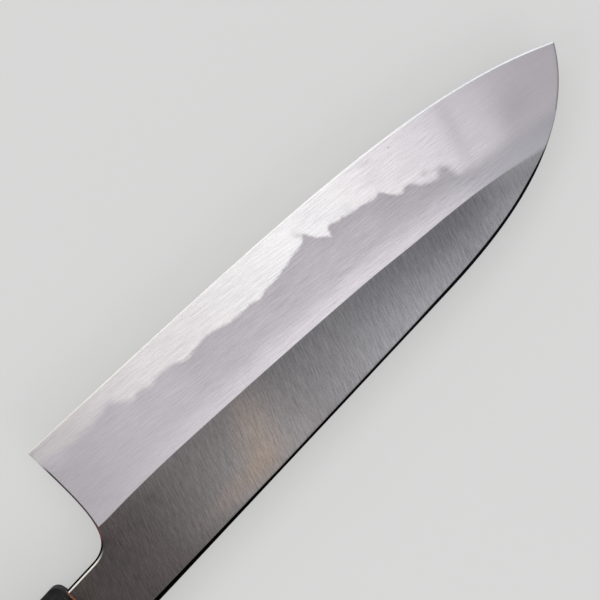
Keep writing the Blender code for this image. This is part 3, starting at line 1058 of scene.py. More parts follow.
class Flow:
    """A value, vector or colour that runs through a tree of nodes, with the sums that it takes part in."""

    def __init__(self, bench: "Bench", socket: bpy.types.NodeSocket) -> None:
        """Keeps the bench of the tree and the socket that gives the value."""
        self.bench = bench
        self.socket = socket

    def __add__(self, other: "Value") -> "Flow":
        """Another added to it."""
        return self.bench.math("ADD", self, other)

    def __sub__(self, other: "Value") -> "Flow":
        """Another taken from it."""
        return self.bench.math("SUBTRACT", self, other)

    def __rsub__(self, other: float) -> "Flow":
        """It taken from a number."""
        return self.bench.math("SUBTRACT", other, self)

    def __mul__(self, other: "Value") -> "Flow":
        """Its product with another."""
        return self.bench.math("MULTIPLY", self, other)

    def __truediv__(self, other: "Value") -> "Flow":
        """Its share of another."""
        return self.bench.math("DIVIDE", self, other)

    def __rtruediv__(self, other: float) -> "Flow":
        """A number's share of it."""
        return self.bench.math("DIVIDE", other, self)

    def __neg__(self) -> "Flow":
        """Its opposite."""
        return self.bench.math("MULTIPLY", self, -1.0)

    def span(
        self, start: "Value", end: "Value", low: "Value" = 0.0, high: "Value" = 1.0, soft: bool = True
    ) -> "Flow":
        """Maps it from start and end to low and high, held there before and past them, eased where soft."""
        kind = "SMOOTHSTEP" if soft else "LINEAR"
        return self.bench.flow("MapRange", self, start, end, low, high, interpolation_type=kind)

    def scaled(self, by: Place) -> "Flow":
        """The vector with each of its values multiplied."""
        return self.bench.flow("VectorMath", self, by, operation="MULTIPLY")

    def parts(self) -> list["Flow"]:
        """The three values of the vector."""
        split = self.bench.flow("SeparateXYZ", self).socket.node
        return [Flow(self.bench, socket) for socket in split.outputs]

    def noise(self, scale: "Value", detail: float = 2.0, rough: float = 0.55) -> "Flow":
        """Smooth noise over the vector, from 0 to 1 about a half."""
        node = self.bench.add("TexNoise", noise_dimensions="3D")
        return self.bench.feed(node, Vector=self, Scale=scale, Detail=detail, Roughness=rough)

    def shades(self, stops: Sequence[tuple[float, Colour]]) -> "Flow":
        """A colour that changes smoothly along the knife.

        Args:
            stops: The colours, with the share of the ramp's length at which each is reached.

        Returns:
            The colour.
        """
        place = self / RAMP_END
        node = self.bench.add("ValToRGB")
        ramp = node.color_ramp
        ramp.interpolation = "CARDINAL"
        while len(ramp.elements) < len(stops):
            ramp.elements.new(0.5)
        for element, (share, colour) in zip(ramp.elements, stops):
            element.position = share
            element.color = (*colour, 1.0)
        return self.bench.feed(node, Fac=place)


Value = float | Flow
Given = Value | Sequence[float]


class Bench:
    """Sets nodes in one tree and joins them."""

    def __init__(self, tree: bpy.types.NodeTree) -> None:
        """Keeps the tree of a material, the world or a group."""
        self.tree = tree

    def put(self, socket: bpy.types.NodeSocket, value: Given) -> None:
        """Gives a socket its value, or joins it to the flow that feeds it.

        Args:
            socket: The socket.
            value: A number, a colour, a vector or a flow.
        """
        if isinstance(value, Flow):
            self.tree.links.new(value.socket, socket)
        else:
            socket.default_value = (*value, 1.0) if socket.type == "RGBA" else value

    def add(self, kind: str, **settings: object) -> bpy.types.Node:
        """Adds a node.

        Args:
            kind: Its type, without the words that all shader nodes' types begin with.
            settings: Its properties, by name.

        Returns:
            The node.
        """
        node = self.tree.nodes.new(f"ShaderNode{kind}")
        for name, value in settings.items():
            setattr(node, name, value)
        return node

    def flow(self, kind: str, *values: Given, **settings: object) -> Flow:
        """Adds a node, fills its first inputs and gives its first output.

        Args:
            kind: Its type, as for add.
            values: What its inputs get, in their order.
            settings: Its properties, by name.

        Returns:
            The flow from its first output.
        """
        node = self.add(kind, **settings)
        for socket, value in zip(node.inputs, values):
            self.put(socket, value)
        return Flow(self, node.outputs[0])

    def feed(self, node: bpy.types.Node, **values: Given) -> Flow | None:
        """Fills a node's inputs by name, and gives its first output.

        Args:
            node: The node.
            values: What its inputs get, with low lines in place of the spaces of their names.

        Returns:
            The flow from its first output, where it has one.
        """
        for name, value in values.items():
            self.put(node.inputs[name.replace("_", " ")], value)
        return Flow(self, node.outputs[0]) if node.outputs else None

    def math(self, operation: str, *values: Value, clamp: bool = False) -> Flow:
        """A sum of one, two or three values."""
        return self.flow("Math", *values, operation=operation, use_clamp=clamp)

    def vector(self, x: Value, y: Value, z: Value) -> Flow:
        """A vector of three values."""
        return self.flow("CombineXYZ", x, y, z)

    def mix(self, places: Sequence[int], out: int, values: Sequence[Given], **settings: str) -> Flow:
        """Sets a mixing node, whose inputs and outputs have a place for each kind of value.

        Args:
            places: The places of the share and of the two values.
            out: The place of the output.
            values: The share and the two values.
            settings: Its properties, by name.

        Returns:
            The mixture.
        """
        node = self.add("Mix", **settings)
        for place, value in zip(places, values):
            self.put(node.inputs[place], value)
        return Flow(self, node.outputs[out])

    def between(self, share: Value, first: Value, second: Value) -> Flow:
        """A value between two others."""
        return self.mix((0, 2, 3), 0, (share, first, second), data_type="FLOAT")

    def blend(self, share: Value, first: Given, second: Given, kind: str = "MIX") -> Flow:
        """A colour between two others, or mixed of them in another way."""
        return self.mix((0, 6, 7), 2, (share, first, second), data_type="RGBA", blend_type=kind)

    def toned(self, colour: Given, by: Value) -> Flow:
        """A colour made lighter or darker."""
        return self.blend(1.0, colour, self.flow("CombineColor", by, by, by), "MULTIPLY")

    def attribute(self, name: str, output: str = "Fac") -> Flow:
        """An attribute of the mesh, as a value or, for the output Vector, as a vector."""
        return Flow(self, self.add("Attribute", attribute_name=name).outputs[output])

    def group(self, tree: bpy.types.NodeTree, **inputs: Given) -> dict[str, Flow]:
        """Places a group.

        Args:
            tree: The group.
            inputs: What its inputs get, as for feed.

        Returns:
            The flows from its outputs, by name.
        """
        node = self.add("Group", node_tree=tree)
        self.feed(node, **inputs)
        return {socket.name: Flow(self, socket) for socket in node.outputs}

    @staticmethod
    def open_group(name: str, **inputs: float | Place) -> tuple["Bench", list[Flow]]:
        """Opens a new group.

        Args:
            name: Name of the group.
            inputs: Its inputs, named as for feed, with their default values.

        Returns:
            The bench of its tree and the flows from its inputs.
        """
        tree = bpy.data.node_groups.new(name, "ShaderNodeTree")
        for label, default in inputs.items():
            kind = "NodeSocketVector" if isinstance(default, tuple) else "NodeSocketFloat"
            socket = tree.interface.new_socket(label.replace("_", " "), in_out="INPUT", socket_type=kind)
            socket.default_value = default
        bench = Bench(tree)
        entry = tree.nodes.new("NodeGroupInput")
        return bench, [Flow(bench, socket) for socket in entry.outputs if socket.name]

    def close_group(self, **outputs: Flow) -> bpy.types.NodeTree:
        """Gives a group its outputs.

        Args:
            outputs: Its outputs, named as for feed, with the flows that they put out.

        Returns:
            The group.
        """
        for label, flow in outputs.items():
            kind = "NodeSocketColor" if flow.socket.type == "RGBA" else "NodeSocketFloat"
            self.tree.interface.new_socket(label.replace("_", " "), in_out="OUTPUT", socket_type=kind)
        self.feed(self.tree.nodes.new("NodeGroupOutput"), **outputs)
        return self.tree


@dataclass(frozen=True)
class ReflectionPatch:
    """A soft patch of painted reflection on the polish, lighter or darker than the steel round it."""

    x: float
    height: float  # over the edge on the wide bevel, from the line of the spine on the flat
    reach: Point  # half its size along the knife and across it
    lean: float  # how far it leans to the tip for each millimetre of height
    tone: float  # how much lighter its middle is, below 0 for darker

    def at(self, x: Flow, height: Flow) -> Flow:
        """What it adds to the tone at a place.

        Args:
            x: Place along the knife.
            height: Height of the place, measured as the patch's own.

        Returns:
            Its tone at its middle, less and less further out.
        """
        up = height - self.height
        ahead = (x - self.x - up * self.lean) / self.reach[0]
        up = up / self.reach[1]
        return x.bench.math("EXPONENT", -(ahead * ahead + up * up)) * self.tone


@dataclass(frozen=True)
class BladeLay:
    """Where a point of the blade's surface lies, each distance as a flow of one tree."""

    bench: Bench
    x: Flow
    over_edge: Flow
    y: Flow
    past_ridge: Flow
    past_weld: Flow
    off_spine: Flow
    off_choil: Flow

    def turned(self, degrees: float, seed: float) -> Flow:
        """The place as a vector turned from x towards y, with a seed that sets patterns apart."""
        run, rise = math.cos(math.radians(degrees)), math.sin(math.radians(degrees))
        return self.bench.vector(self.x * run + self.y * rise, self.y * run - self.x * rise, seed)


class GroupMaker:
    """The effects that several finishes share, each a group of nodes that is built once."""

    # painted warm reflections on the flat
    WARM_REFLECTIONS = (ReflectionPatch(60.9, 9.0, (5.7, 9.5), 0.38, 0.58), ReflectionPatch(52.5, 4.9, (11.0, 2.7), 0.0, 0.52))
    # painted reflections on the wide bevel, as lighter and darker patches
    PAINTED_REFLECTIONS = (
        ReflectionPatch(22.5, 6.4, (5.0, 2.4), 0.0, 0.125),
        ReflectionPatch(106.2, 5.5, (0.8, 1.2), 0.5, -0.22),
        ReflectionPatch(112.9, 10.2, (1.2, 0.8), 0.0, -0.05),
        ReflectionPatch(130.3, 5.0, (2.2, 6.0), -0.39, -0.075),
        ReflectionPatch(138.2, 2.6, (0.22, 0.22), 0.0, -0.4),
        ReflectionPatch(139.5, 13.6, (1.1, 0.7), 0.0, -0.2),
        ReflectionPatch(141.6, 14.3, (1.3, 0.5), 0.0, -0.07),
        ReflectionPatch(144.3, 15.6, (1.3, 1.4), 0.0, -0.06),
        ReflectionPatch(152.2, 10.0, (2.3, 11.0), -0.33, -0.13),
        ReflectionPatch(159.5, 12.0, (3.6, 11.0), -0.30, 0.04),
        ReflectionPatch(166.6, 13.0, (6.0, 6.5), -0.6, -0.16),
    )

    def __init__(self) -> None:
        """Builds the groups."""
        self.hairlines = self.make_hairlines()
        self.weld = self.make_weld()
        self.handling = self.make_handling()
        self.polish = self.make_polish()
        self.grain = self.make_grain()

    def make_hairlines(self) -> bpy.types.NodeTree:
        """Fine lines of a stone or belt: X of the vector runs along them and Y across.

        Returns:
            The group.
        """
        bench, (lay, length, width, waver, grain) = Bench.open_group(
            "hairlines", Lay=NOWHERE, Length=4.0, Width=0.3, Waver=0.4, Grain=0.25
        )
        x, y, z = lay.parts()
        stray = bench.vector(x * 0.05, y * 0.2, z).noise(1.0)  # bends the lines, slowly along them
        along, across = x / length, (y + (stray - 0.5) * waver) / width
        broad = bench.vector(along, across, z).noise(1.0, 2.0, 0.6)
        fine = bench.vector(along * 2.3, across * 2.1, z).noise(1.0, 1.0)
        lines = bench.between(grain, broad * 0.5 + fine * 0.5, lay.noise(2.6, 1.0))
        return bench.close_group(Lines=lines.span(0.25, 0.75, -1.0, 1.0, soft=False), Fine=fine)

    def make_weld(self) -> bpy.types.NodeTree:
        """The misty line between cladding and core.

        Returns:
            The group.
        """
        bench, (past_weld, lay, ragged, shadow_width) = Bench.open_group(
            "weld_mist", Past_Weld=0.0, Lay=NOWHERE, Ragged=1.1, Shadow_Width=5.0
        )
        x = lay.parts()[0]
        slow, quick = lay.noise(0.33), lay.noise(1.5, 3.0, 0.65)
        past = past_weld + ((slow - 0.5) * ragged + (quick - 0.5) * (ragged * 0.8))
        soft = x.span(25.0, 85.0, 1.5, 0.55) + x.span(128.0, 168.0, 0.0, 3.2)  # at the heel, at the tip
        masks = {"Core": past.span(-soft, soft)}
        for name, width in (("Shadow", shadow_width), ("Brink", 1.6)):
            depth = bench.math("MINIMUM", past, 0.0) / width
            masks[name] = bench.math("EXPONENT", -(depth * depth))
        return bench.close_group(**masks)

    def make_handling(self) -> bpy.types.NodeTree:
        """Faint clouds of handling and a few specks of dust.

        Returns:
            The group.
        """
        bench, (place, cloud_size, speck_size) = Bench.open_group(
            "handling", Place=NOWHERE, Cloud_Size=18.0, Speck_Size=0.5
        )
        cloud, specks = place.noise(1.0 / cloud_size, 3.0, 0.6), place.noise(1.0 / speck_size, 1.0, 0.4)
        return bench.close_group(Cloud=cloud.span(0.3, 0.7, soft=False), Specks=specks.span(0.74, 0.8))

    def make_grain(self) -> bpy.types.NodeTree:
        """The grain of a split of wood: rings round a pith outside it, fibres along x and pores.

        Returns:
            The group.
        """
        bench, (place, ring, pith_y, pith_z) = Bench.open_group(
            "wood_grain", Place=NOWHERE, Ring=2.4, Pith_Y=34.0, Pith_Z=-46.0
        )
        x, y, z = place.parts()
        bend = place.scaled((0.012, 0.05, 0.05)).noise(1.0)  # lets the rings waver
        dy, dz = y - pith_y, z - pith_z
        far = bench.math("SQRT", dy * dy + dz * dz) + bend * 9.0 + x * 0.02
        turn = bench.math("FRACT", far / ring)  # from one ring to the next
        pores = place.scaled((0.45, 7.0, 7.0)).noise(1.0, 1.0, 0.4)
        return bench.close_group(
            Ring_Tone=bench.math("SUBTRACT", turn.span(0.0, 0.82), turn.span(0.9, 1.0), clamp=True),
            Fibre=place.scaled((0.07, 2.6, 2.6)).noise(1.0, 4.0, 0.6),
            Pores=pores.span(0.62, 0.74),
        )

    def make_polish(self) -> bpy.types.NodeTree:
        """The whole polish of the blade: flat, wide bevel, bare core, rims and last bevel, with painted
        reflections, highlights and shade.

        Returns:
            The group.
        """
        bench, (lay, *distances) = Bench.open_group(
            "blade_polish", Lay=NOWHERE, Past_Ridge=0.0, Past_Weld=0.0, Off_Spine=0.0, Off_Choil=0.0
        )
        at = BladeLay(bench, *lay.parts(), *distances)
        x = at.x
        brow = x.span(150.0, 172.0, 0.12, 1.25)  # the painted tones of flat and bevel meet crisply at the ridge, and blend over a wider band near the tip
        on_bevel = at.past_ridge.span(-brow, brow)
        body = bench.blend(on_bevel, self.flat_tone(at), self.bevel_tone(at))

        flat_lay, bevel_lay = at.turned(degrees=68.0, seed=3.0), at.turned(degrees=-9.0, seed=7.0)
        flat_lines = bench.group(self.hairlines, Lay=flat_lay, Length=5.5, Width=0.44, Waver=0.5, Grain=0.2)
        bevel_lines = bench.group(self.hairlines, Lay=bevel_lay, Length=9.0, Width=0.42, Waver=0.3, Grain=0.2)
        flat_shade = flat_lines["Lines"] * x.span(140.0, 162.0, 0.55, 0.27)  # fainter near the tip
        bevel_depth = x.span(20.0, 90.0, 0.5, 1.0) * x.span(140.0, 166.0, 1.0, 0.32)  # deepest in between
        bevel_shade = bevel_lines["Lines"] * (bevel_depth * 0.35)
        lines = bench.between(on_bevel, flat_shade, bevel_shade) + 1.0
        touch = bench.group(self.handling, Place=bench.vector(x, at.y, 0.0), Cloud_Size=24.0)
        body = bench.toned(body, lines * touch["Cloud"].span(0.0, 1.0, 0.965, 1.035, soft=False))
        dust = touch["Specks"] * x.span(4.0, 26.0, 0.5, 0.0)  # lies on the neck alone
        body = bench.blend(dust, body, (0.34, 0.29, 0.25))

        # painted highlights on the last bevel and beside the neck's rim, then painted dark reflections beside
        # the spine and the choil
        masks = []
        for band in (self.keen_bevel_highlight, self.neck_highlight_band, self.spine_dark_reflection, self.choil_dark_reflection):
            mask, tone = band(at)
            body = bench.blend(mask, body, tone)
            masks.append(mask)
        bare, rims = bench.math("MAXIMUM", *masks[:2]), bench.math("MAXIMUM", *masks[2:])
        rough = bench.between(
            on_bevel,
            flat_lines["Fine"].span(0.3, 0.7, 0.3, 0.4, soft=False),
            bevel_lines["Fine"].span(0.3, 0.7, 0.34, 0.42, soft=False),
        )
        rough = bench.between(rims, bench.between(bare, rough, 0.3), 0.45)
        height = bench.between(on_bevel, flat_lines["Lines"], bevel_lines["Lines"]) * (1.0 - rims)
        return bench.close_group(Color=body, Roughness=rough, Height=height)

    def flat_tone(self, at: BladeLay) -> Flow:
        """The tone of the flat above the ridge, with its painted warm reflections.

        Args:
            at: Where the surface lies.

        Returns:
            The colour.
        """
        x, past_ridge = at.x, at.past_ridge
        # the flat's own dark polish, with painted reflections that change its tone along the knife
        flat = x.shades((
            (0.02, (0.083, 0.069, 0.066)), (0.06, (0.0825, 0.0715, 0.069)), (0.10, (0.095, 0.083, 0.080)),
            (0.16, (0.126, 0.112, 0.111)), (0.24, (0.187, 0.173, 0.173)), (0.34, (0.208, 0.194, 0.196)),
            (0.42, (0.186, 0.177, 0.181)), (0.50, (0.196, 0.190, 0.197)), (0.62, (0.184, 0.180, 0.192)),
            (0.73, (0.178, 0.174, 0.188)), (0.81, (0.262, 0.258, 0.275)),
        ))
        rise = x.span(38.0, 62.0, 0.2, 0.5) + x.span(82.0, 122.0, 0.0, 0.6)
        rise = past_ridge.span(-4.0, -17.0, soft=False) * rise  # painted reflection, lighter towards the spine
        dip = past_ridge.span(-4.6, -0.8) * x.span(36.0, 48.0, -0.09, 0.11)  # painted shade, darker along the ridge
        dip = dip * x.span(146.0, 158.0, 1.0, -0.7)  # and painted light the other way at the tip
        flat = at.bench.toned(flat, rise - dip + 1.0)
        # painted warm reflections on the flat
        glow = self.WARM_REFLECTIONS[0].at(x, at.y) + self.WARM_REFLECTIONS[1].at(x, at.y)
        return at.bench.blend(glow, flat, (0.366, 0.293, 0.246))

    def bevel_tone(self, at: BladeLay) -> Flow:
        """The tone of the wide bevel: cladding, bare core and the misty line between them, with painted
        reflections.

        Args:
            at: Where the surface lies.

        Returns:
            The colour.
        """
        bench, x = at.bench, at.x
        # the steel's own tones, the core lighter than the cladding, with painted reflections that change them
        # along the knife
        clad = x.shades((
            (0.09, (0.510, 0.478, 0.505)), (0.16, (0.555, 0.518, 0.548)), (0.26, (0.560, 0.522, 0.553)),
            (0.36, (0.530, 0.495, 0.525)), (0.60, (0.520, 0.485, 0.515)), (0.72, (0.465, 0.437, 0.470)),
            (0.84, (0.450, 0.438, 0.472)), (0.95, (0.405, 0.394, 0.425)),
        ))
        core = x.shades((
            (0.11, (0.632, 0.590, 0.600)), (0.18, (0.697, 0.648, 0.656)), (0.26, (0.771, 0.728, 0.734)),
            (0.40, (0.828, 0.796, 0.799)), (0.56, (0.885, 0.865, 0.870)), (0.66, (0.830, 0.795, 0.810)),
            (0.78, (0.700, 0.660, 0.690)), (0.88, (0.532, 0.500, 0.534)), (0.97, (0.482, 0.450, 0.484)),
        ))
        band = at.past_ridge.span(7.5, 0.4) * x.span(139.0, 153.0, 1.0, 0.15)
        clad = bench.toned(clad, x.span(20.0, 90.0, 0.04, 0.36) * band + 1.0)  # painted reflection, lighter below the ridge
        weld = bench.group(self.weld, Past_Weld=at.past_weld, Lay=bench.vector(x, at.y, 0.0))
        shadow = weld["Shadow"] * x.span(30.0, 80.0, 0.02, 0.06)
        brink = weld["Brink"] * x.span(80.0, 115.0, 0.01, 0.06)
        clad = bench.toned(clad, 1.0 - (shadow + brink))
        # painted reflections: lighter and darker patches on the bevel
        tone = self.PAINTED_REFLECTIONS[0].at(x, at.over_edge) + 1.0
        for patch in self.PAINTED_REFLECTIONS[1:]:
            tone = tone + patch.at(x, at.over_edge)
        return bench.toned(bench.blend(weld["Core"], clad, core), tone)

    def keen_bevel_highlight(self, at: BladeLay) -> tuple[Flow, Flow]:
        """The last bevel along the edge, its polished steel made bright by a painted highlight.

        Args:
            at: Where the surface lies.

        Returns:
            Its mask and its tone.
        """
        width = at.x.span(95.0, 130.0, 0.3, 0.44)  # wider towards the tip
        tone = at.x.shades((
            (0.10, (0.77, 0.74, 0.68)), (0.20, (0.84, 0.81, 0.75)), (0.40, (0.86, 0.84, 0.81)),
            (0.75, (0.90, 0.90, 0.90)), (0.84, (0.79, 0.80, 0.82)), (0.90, (0.79, 0.80, 0.82)),
            (0.94, (0.88, 0.89, 0.91)),
        ))
        return at.over_edge.span(width + 0.07, width - 0.06), tone

    def neck_highlight_band(self, at: BladeLay) -> tuple[Flow, Colour]:
        """A painted highlight: the pale line beside the rim of the neck."""
        return at.off_choil.span(0.99, 0.83) * at.x.span(14.6, 10.0), (0.97, 0.92, 0.84)

    def spine_dark_reflection(self, at: BladeLay) -> tuple[Flow, Flow]:
        """A painted dark reflection: the black line beside the rim of the spine, brown near the tip.

        Args:
            at: Where the surface lies.

        Returns:
            Its mask and its tone.
        """
        x, bench = at.x, at.bench
        width = x.span(10.0, 62.0, 1.22, 0.70, soft=False)
        growths = ((106.0, 121.0, 0.13), (130.0, 150.0, -0.10), (154.0, 171.0, -0.58))
        for start, end, growth in growths:  # it swells a little, and dies out at the tip
            width = width + x.span(start, end, 0.0, growth)
        black = bench.blend(x.span(76.0, 96.0), REFLECTED_BLACK, (0.006, 0.006, 0.0065))
        tone = bench.blend(x.span(163.0, 169.0), black, (0.32, 0.29, 0.26))
        return at.off_spine.span(width + 0.08, width - 0.1), tone

    def choil_dark_reflection(self, at: BladeLay) -> tuple[Flow, Flow]:
        """A painted dark reflection: the dark line beside the rim of the neck and the back of the heel,
        red-brown at the bend.

        Args:
            at: Where the surface lies.

        Returns:
            Its mask and its tone.
        """
        y, bench = at.y, at.bench
        width = y.span(19.6, 22.0, 0.5, 0.62) + y.span(22.8, 27.5, 0.0, -0.17)  # widest at the bend
        # painted reflection, red-brown at the bend and darker towards the edge
        rim = bench.blend(y.span(22.8, 27.5), (0.17, 0.075, 0.067), (0.088, 0.064, 0.068))
        red_brown_reflection = bench.blend(at.off_choil.span(0.02, 0.1), (0.08, 0.06, 0.056), rim)
        tone = bench.blend(y.span(19.6, 22.4), REFLECTED_BLACK, red_brown_reflection)
        return at.off_choil.span(width + 0.06, width - 0.08) * y.span(46.0, 42.0), tone


class Coat(Bench):
    """The bench of a new material, with its Principled shader."""

    def __init__(self, name: str) -> None:
        """Makes the material.

        Args:
            name: Its name.
        """
        self.made = bpy.data.materials.new(name)
        self.made.use_nodes = True
        super().__init__(self.made.node_tree)
        self.shader = self.tree.nodes["Principled BSDF"]

    def knife_place(self, origin: Vector) -> Flow:
        """The place of each point of a surface from the handle's axis, in millimetres.

        Args:
            origin: The knife line's origin in the frame.

        Returns:
            The vector.
        """
        axis = origin + Vector((0.0, HandleShape.axis, 0.0)) * MM
        place = Flow(self, self.add("TexCoord").outputs["Object"])
        shift = self.flow("VectorMath", place, tuple(axis), operation="SUBTRACT")
        return shift.scaled((1 / MM, 1 / MM, 1 / MM))

    def dress(
        self, colour: Flow, rough: Flow, height: Flow, bump: Point, **more: float
    ) -> bpy.types.Material:
        """Joins what changes over the surface to the shader.

        Args:
            colour: The base colour.
            rough: The roughness.
            height: The height that the bump follows.
            bump: Strength of the bump, and its depth in metres.
            more: Other inputs of the shader, the same all over.

        Returns:
            The material.
        """
        normal = self.feed(self.add("Bump"), Strength=bump[0], Distance=bump[1], Height=height)
        self.feed(self.shader, Base_Color=colour, Roughness=rough, Normal=normal, **more)
        return self.made


@dataclass(frozen=True)
class SteelFinish:
    """A layer of the blade, as the stones leave it, with painted reflections, highlights and shade in its
    colour.
    """

    name: str
    bump: Point = (0.25, 0.00003)

    def material(self, groups: GroupMaker) -> bpy.types.Material:
        """Makes the material.

        Args:
            groups: The shared effects.

        Returns:
            The material.
        """
        coat = Coat(self.name)
        names = ("past_ridge", "past_weld", "off_spine", "off_choil")
        distances = {name.title(): coat.attribute(name) for name in names}
        polish = coat.group(groups.polish, Lay=coat.attribute("lay", "Vector"), **distances)
        return coat.dress(polish["Color"], polish["Roughness"], polish["Height"], self.bump, Metallic=1.0)


@dataclass(frozen=True)
class HornFinish:
    """Polished black buffalo horn."""

    name: str = "black_horn"
    dark: Colour = (0.004, 0.004, 0.004)
    pale: Colour = (0.024, 0.020, 0.017)
    dust: Colour = (0.16, 0.15, 0.14)
    gloss: float = 0.28  # specular level
    polish: Point = (0.1, 0.17)  # roughness of clean and of handled horn
    end_rough: float = 0.68  # of the front face, which is only sanded
    end_x: Point = (-0.85, -0.45)  # x over which the polish gives way to it
    rim_x: Point = (-4.2, -2.4)  # where the narrow facets are sanded too, along x
    rim_z: Point = (8.6, 4.6)  # and towards their middle
    streaks: Place = (0.03, 0.42, 0.42)  # how fast the broad streaks change along x, y and z
    fibres: Place = (0.09, 3.0, 3.0)  # and the fine ones
    bump: Point = (0.06, 0.00004)

    def material(self, groups: GroupMaker, origin: Vector) -> bpy.types.Material:
        """Makes the material.

        Args:
            groups: The shared effects.
            origin: The knife line's origin in the frame.

        Returns:
            The material.
        """
        coat = Coat(self.name)
        place = coat.knife_place(origin)
        streaks = place.scaled(self.streaks).noise(1.0, 4.0, 0.62)
        fibres = place.scaled(self.fibres).noise(1.0)
        touch = coat.group(groups.handling, Place=place, Cloud_Size=9.0, Speck_Size=0.35)
        lines = coat.group(groups.hairlines, Lay=place, Length=14.0, Width=0.25, Waver=0.4)
        pale = streaks.span(0.5, 0.78, 0.0, 0.75), fibres.span(0.55, 0.8, 0.0, 0.25)
        tone = coat.math("ADD", *pale, clamp=True)
        colour = coat.blend(touch["Specks"] * 0.25, coat.blend(tone, self.dark, self.pale), self.dust)
        rough = touch["Cloud"].span(0.0, 1.0, *self.polish) + fibres * 0.05
        x, _, z = place.parts()
        on_rim = x.span(*self.rim_x) * coat.math("ABSOLUTE", z).span(*self.rim_z)
        on_end = coat.math("MAXIMUM", x.span(*self.end_x), on_rim)
        rough = coat.between(on_end, rough, self.end_rough)
        return coat.dress(colour, rough, lines["Lines"], self.bump, Specular_IOR_Level=self.gloss)


@dataclass(frozen=True)
class WoodFinish:
    """A bare, finely sanded wood."""

    name: str
    early: Colour
    late: Colour
    pore: Colour
    ring: float = 2.4  # from one ring of growth to the next
    rough: float = 0.55
    rough_play: float = 0.06  # either way, from fibre to fibre
    ring_share: float = 0.55  # of the late tone that the rings bring
    fibre_share: float = 0.45  # and that the fibres bring
    pore_share: float = 0.45  # how far the pores cover both
    handled: Point = (0.93, 1.05)  # darkest and lightest shade of the handling
    bump: Point = (0.35, 0.00012)

    def material(self, groups: GroupMaker, origin: Vector) -> bpy.types.Material:
        """Makes the material.

        Args:
            groups: The shared effects.
            origin: The knife line's origin in the frame.

        Returns:
            The material.
        """
        coat = Coat(self.name)
        place = coat.knife_place(origin)
        grain = coat.group(groups.grain, Place=place, Ring=self.ring)
        touch = coat.group(groups.handling, Place=place, Cloud_Size=22.0, Speck_Size=0.4)
        rings, fibre, pores = grain["Ring Tone"], grain["Fibre"], grain["Pores"]
        fibre_tone = fibre.span(0.3, 0.7, 0.0, self.fibre_share, soft=False)
        tone = coat.math("ADD", rings * self.ring_share, fibre_tone, clamp=True)
        colour = coat.blend(pores * self.pore_share, coat.blend(tone, self.early, self.late), self.pore)
        colour = coat.toned(colour, touch["Cloud"].span(0.0, 1.0, *self.handled, soft=False))
        dull, bright = self.rough + self.rough_play, self.rough - self.rough_play
        rough = fibre.span(0.3, 0.7, dull, bright, soft=False)
        return coat.dress(colour, rough, fibre * 0.6 - pores * 0.5, self.bump)


@dataclass(frozen=True)
class ResinFinish:
    """The amber resin that seals the mouth."""

    name: str = "amber_resin"
    deep: Colour = (0.15, 0.040, 0.018)
    clear: Colour = (0.46, 0.20, 0.085)
    glint: Colour = (0.75, 0.62, 0.50)
    glint_share: float = 0.6  # how far a glint covers the rest
    polish: Point = (0.14, 0.28)  # roughness of the deep and of the clear
    bump: Point = (0.5, 0.00008)

    def material(self, groups: GroupMaker, origin: Vector) -> bpy.types.Material:
        """Makes the material.

        Args:
            groups: The shared effects.
            origin: The knife line's origin in the frame.

        Returns:
            The material.
        """
        coat = Coat(self.name)
        place = coat.knife_place(origin)
        cloud = coat.group(groups.handling, Place=place, Cloud_Size=1.6, Speck_Size=0.2)["Cloud"]
        glints = place.noise(1.7).span(0.58, 0.7, 0.0, self.glint_share)
        colour = coat.blend(glints, coat.blend(cloud, self.deep, self.clear), self.glint)
        return coat.dress(colour, cloud.span(0.0, 1.0, *self.polish), cloud, self.bump)


@dataclass(frozen=True)
class Lamp:
    """A soft square light that looks at the knife."""

    name: str
    place: Place  # metres in the frame
    size: Point
    glow: float  # how bright its face is

    def switch_on(self, target: Vector) -> None:
        """Hangs the light.

        Args:
            target: What it looks at.
        """
        data = bpy.data.lights.new(self.name, "AREA")
        data.shape = "RECTANGLE"
        data.size, data.size_y = self.size
        data.energy = self.glow * math.pi * self.size[0] * self.size[1]
        lamp = into_scene(self.name, data)
        lamp.location = self.place
        lamp.rotation_euler = (target - Vector(self.place)).to_track_quat("-Z", "Y").to_euler()


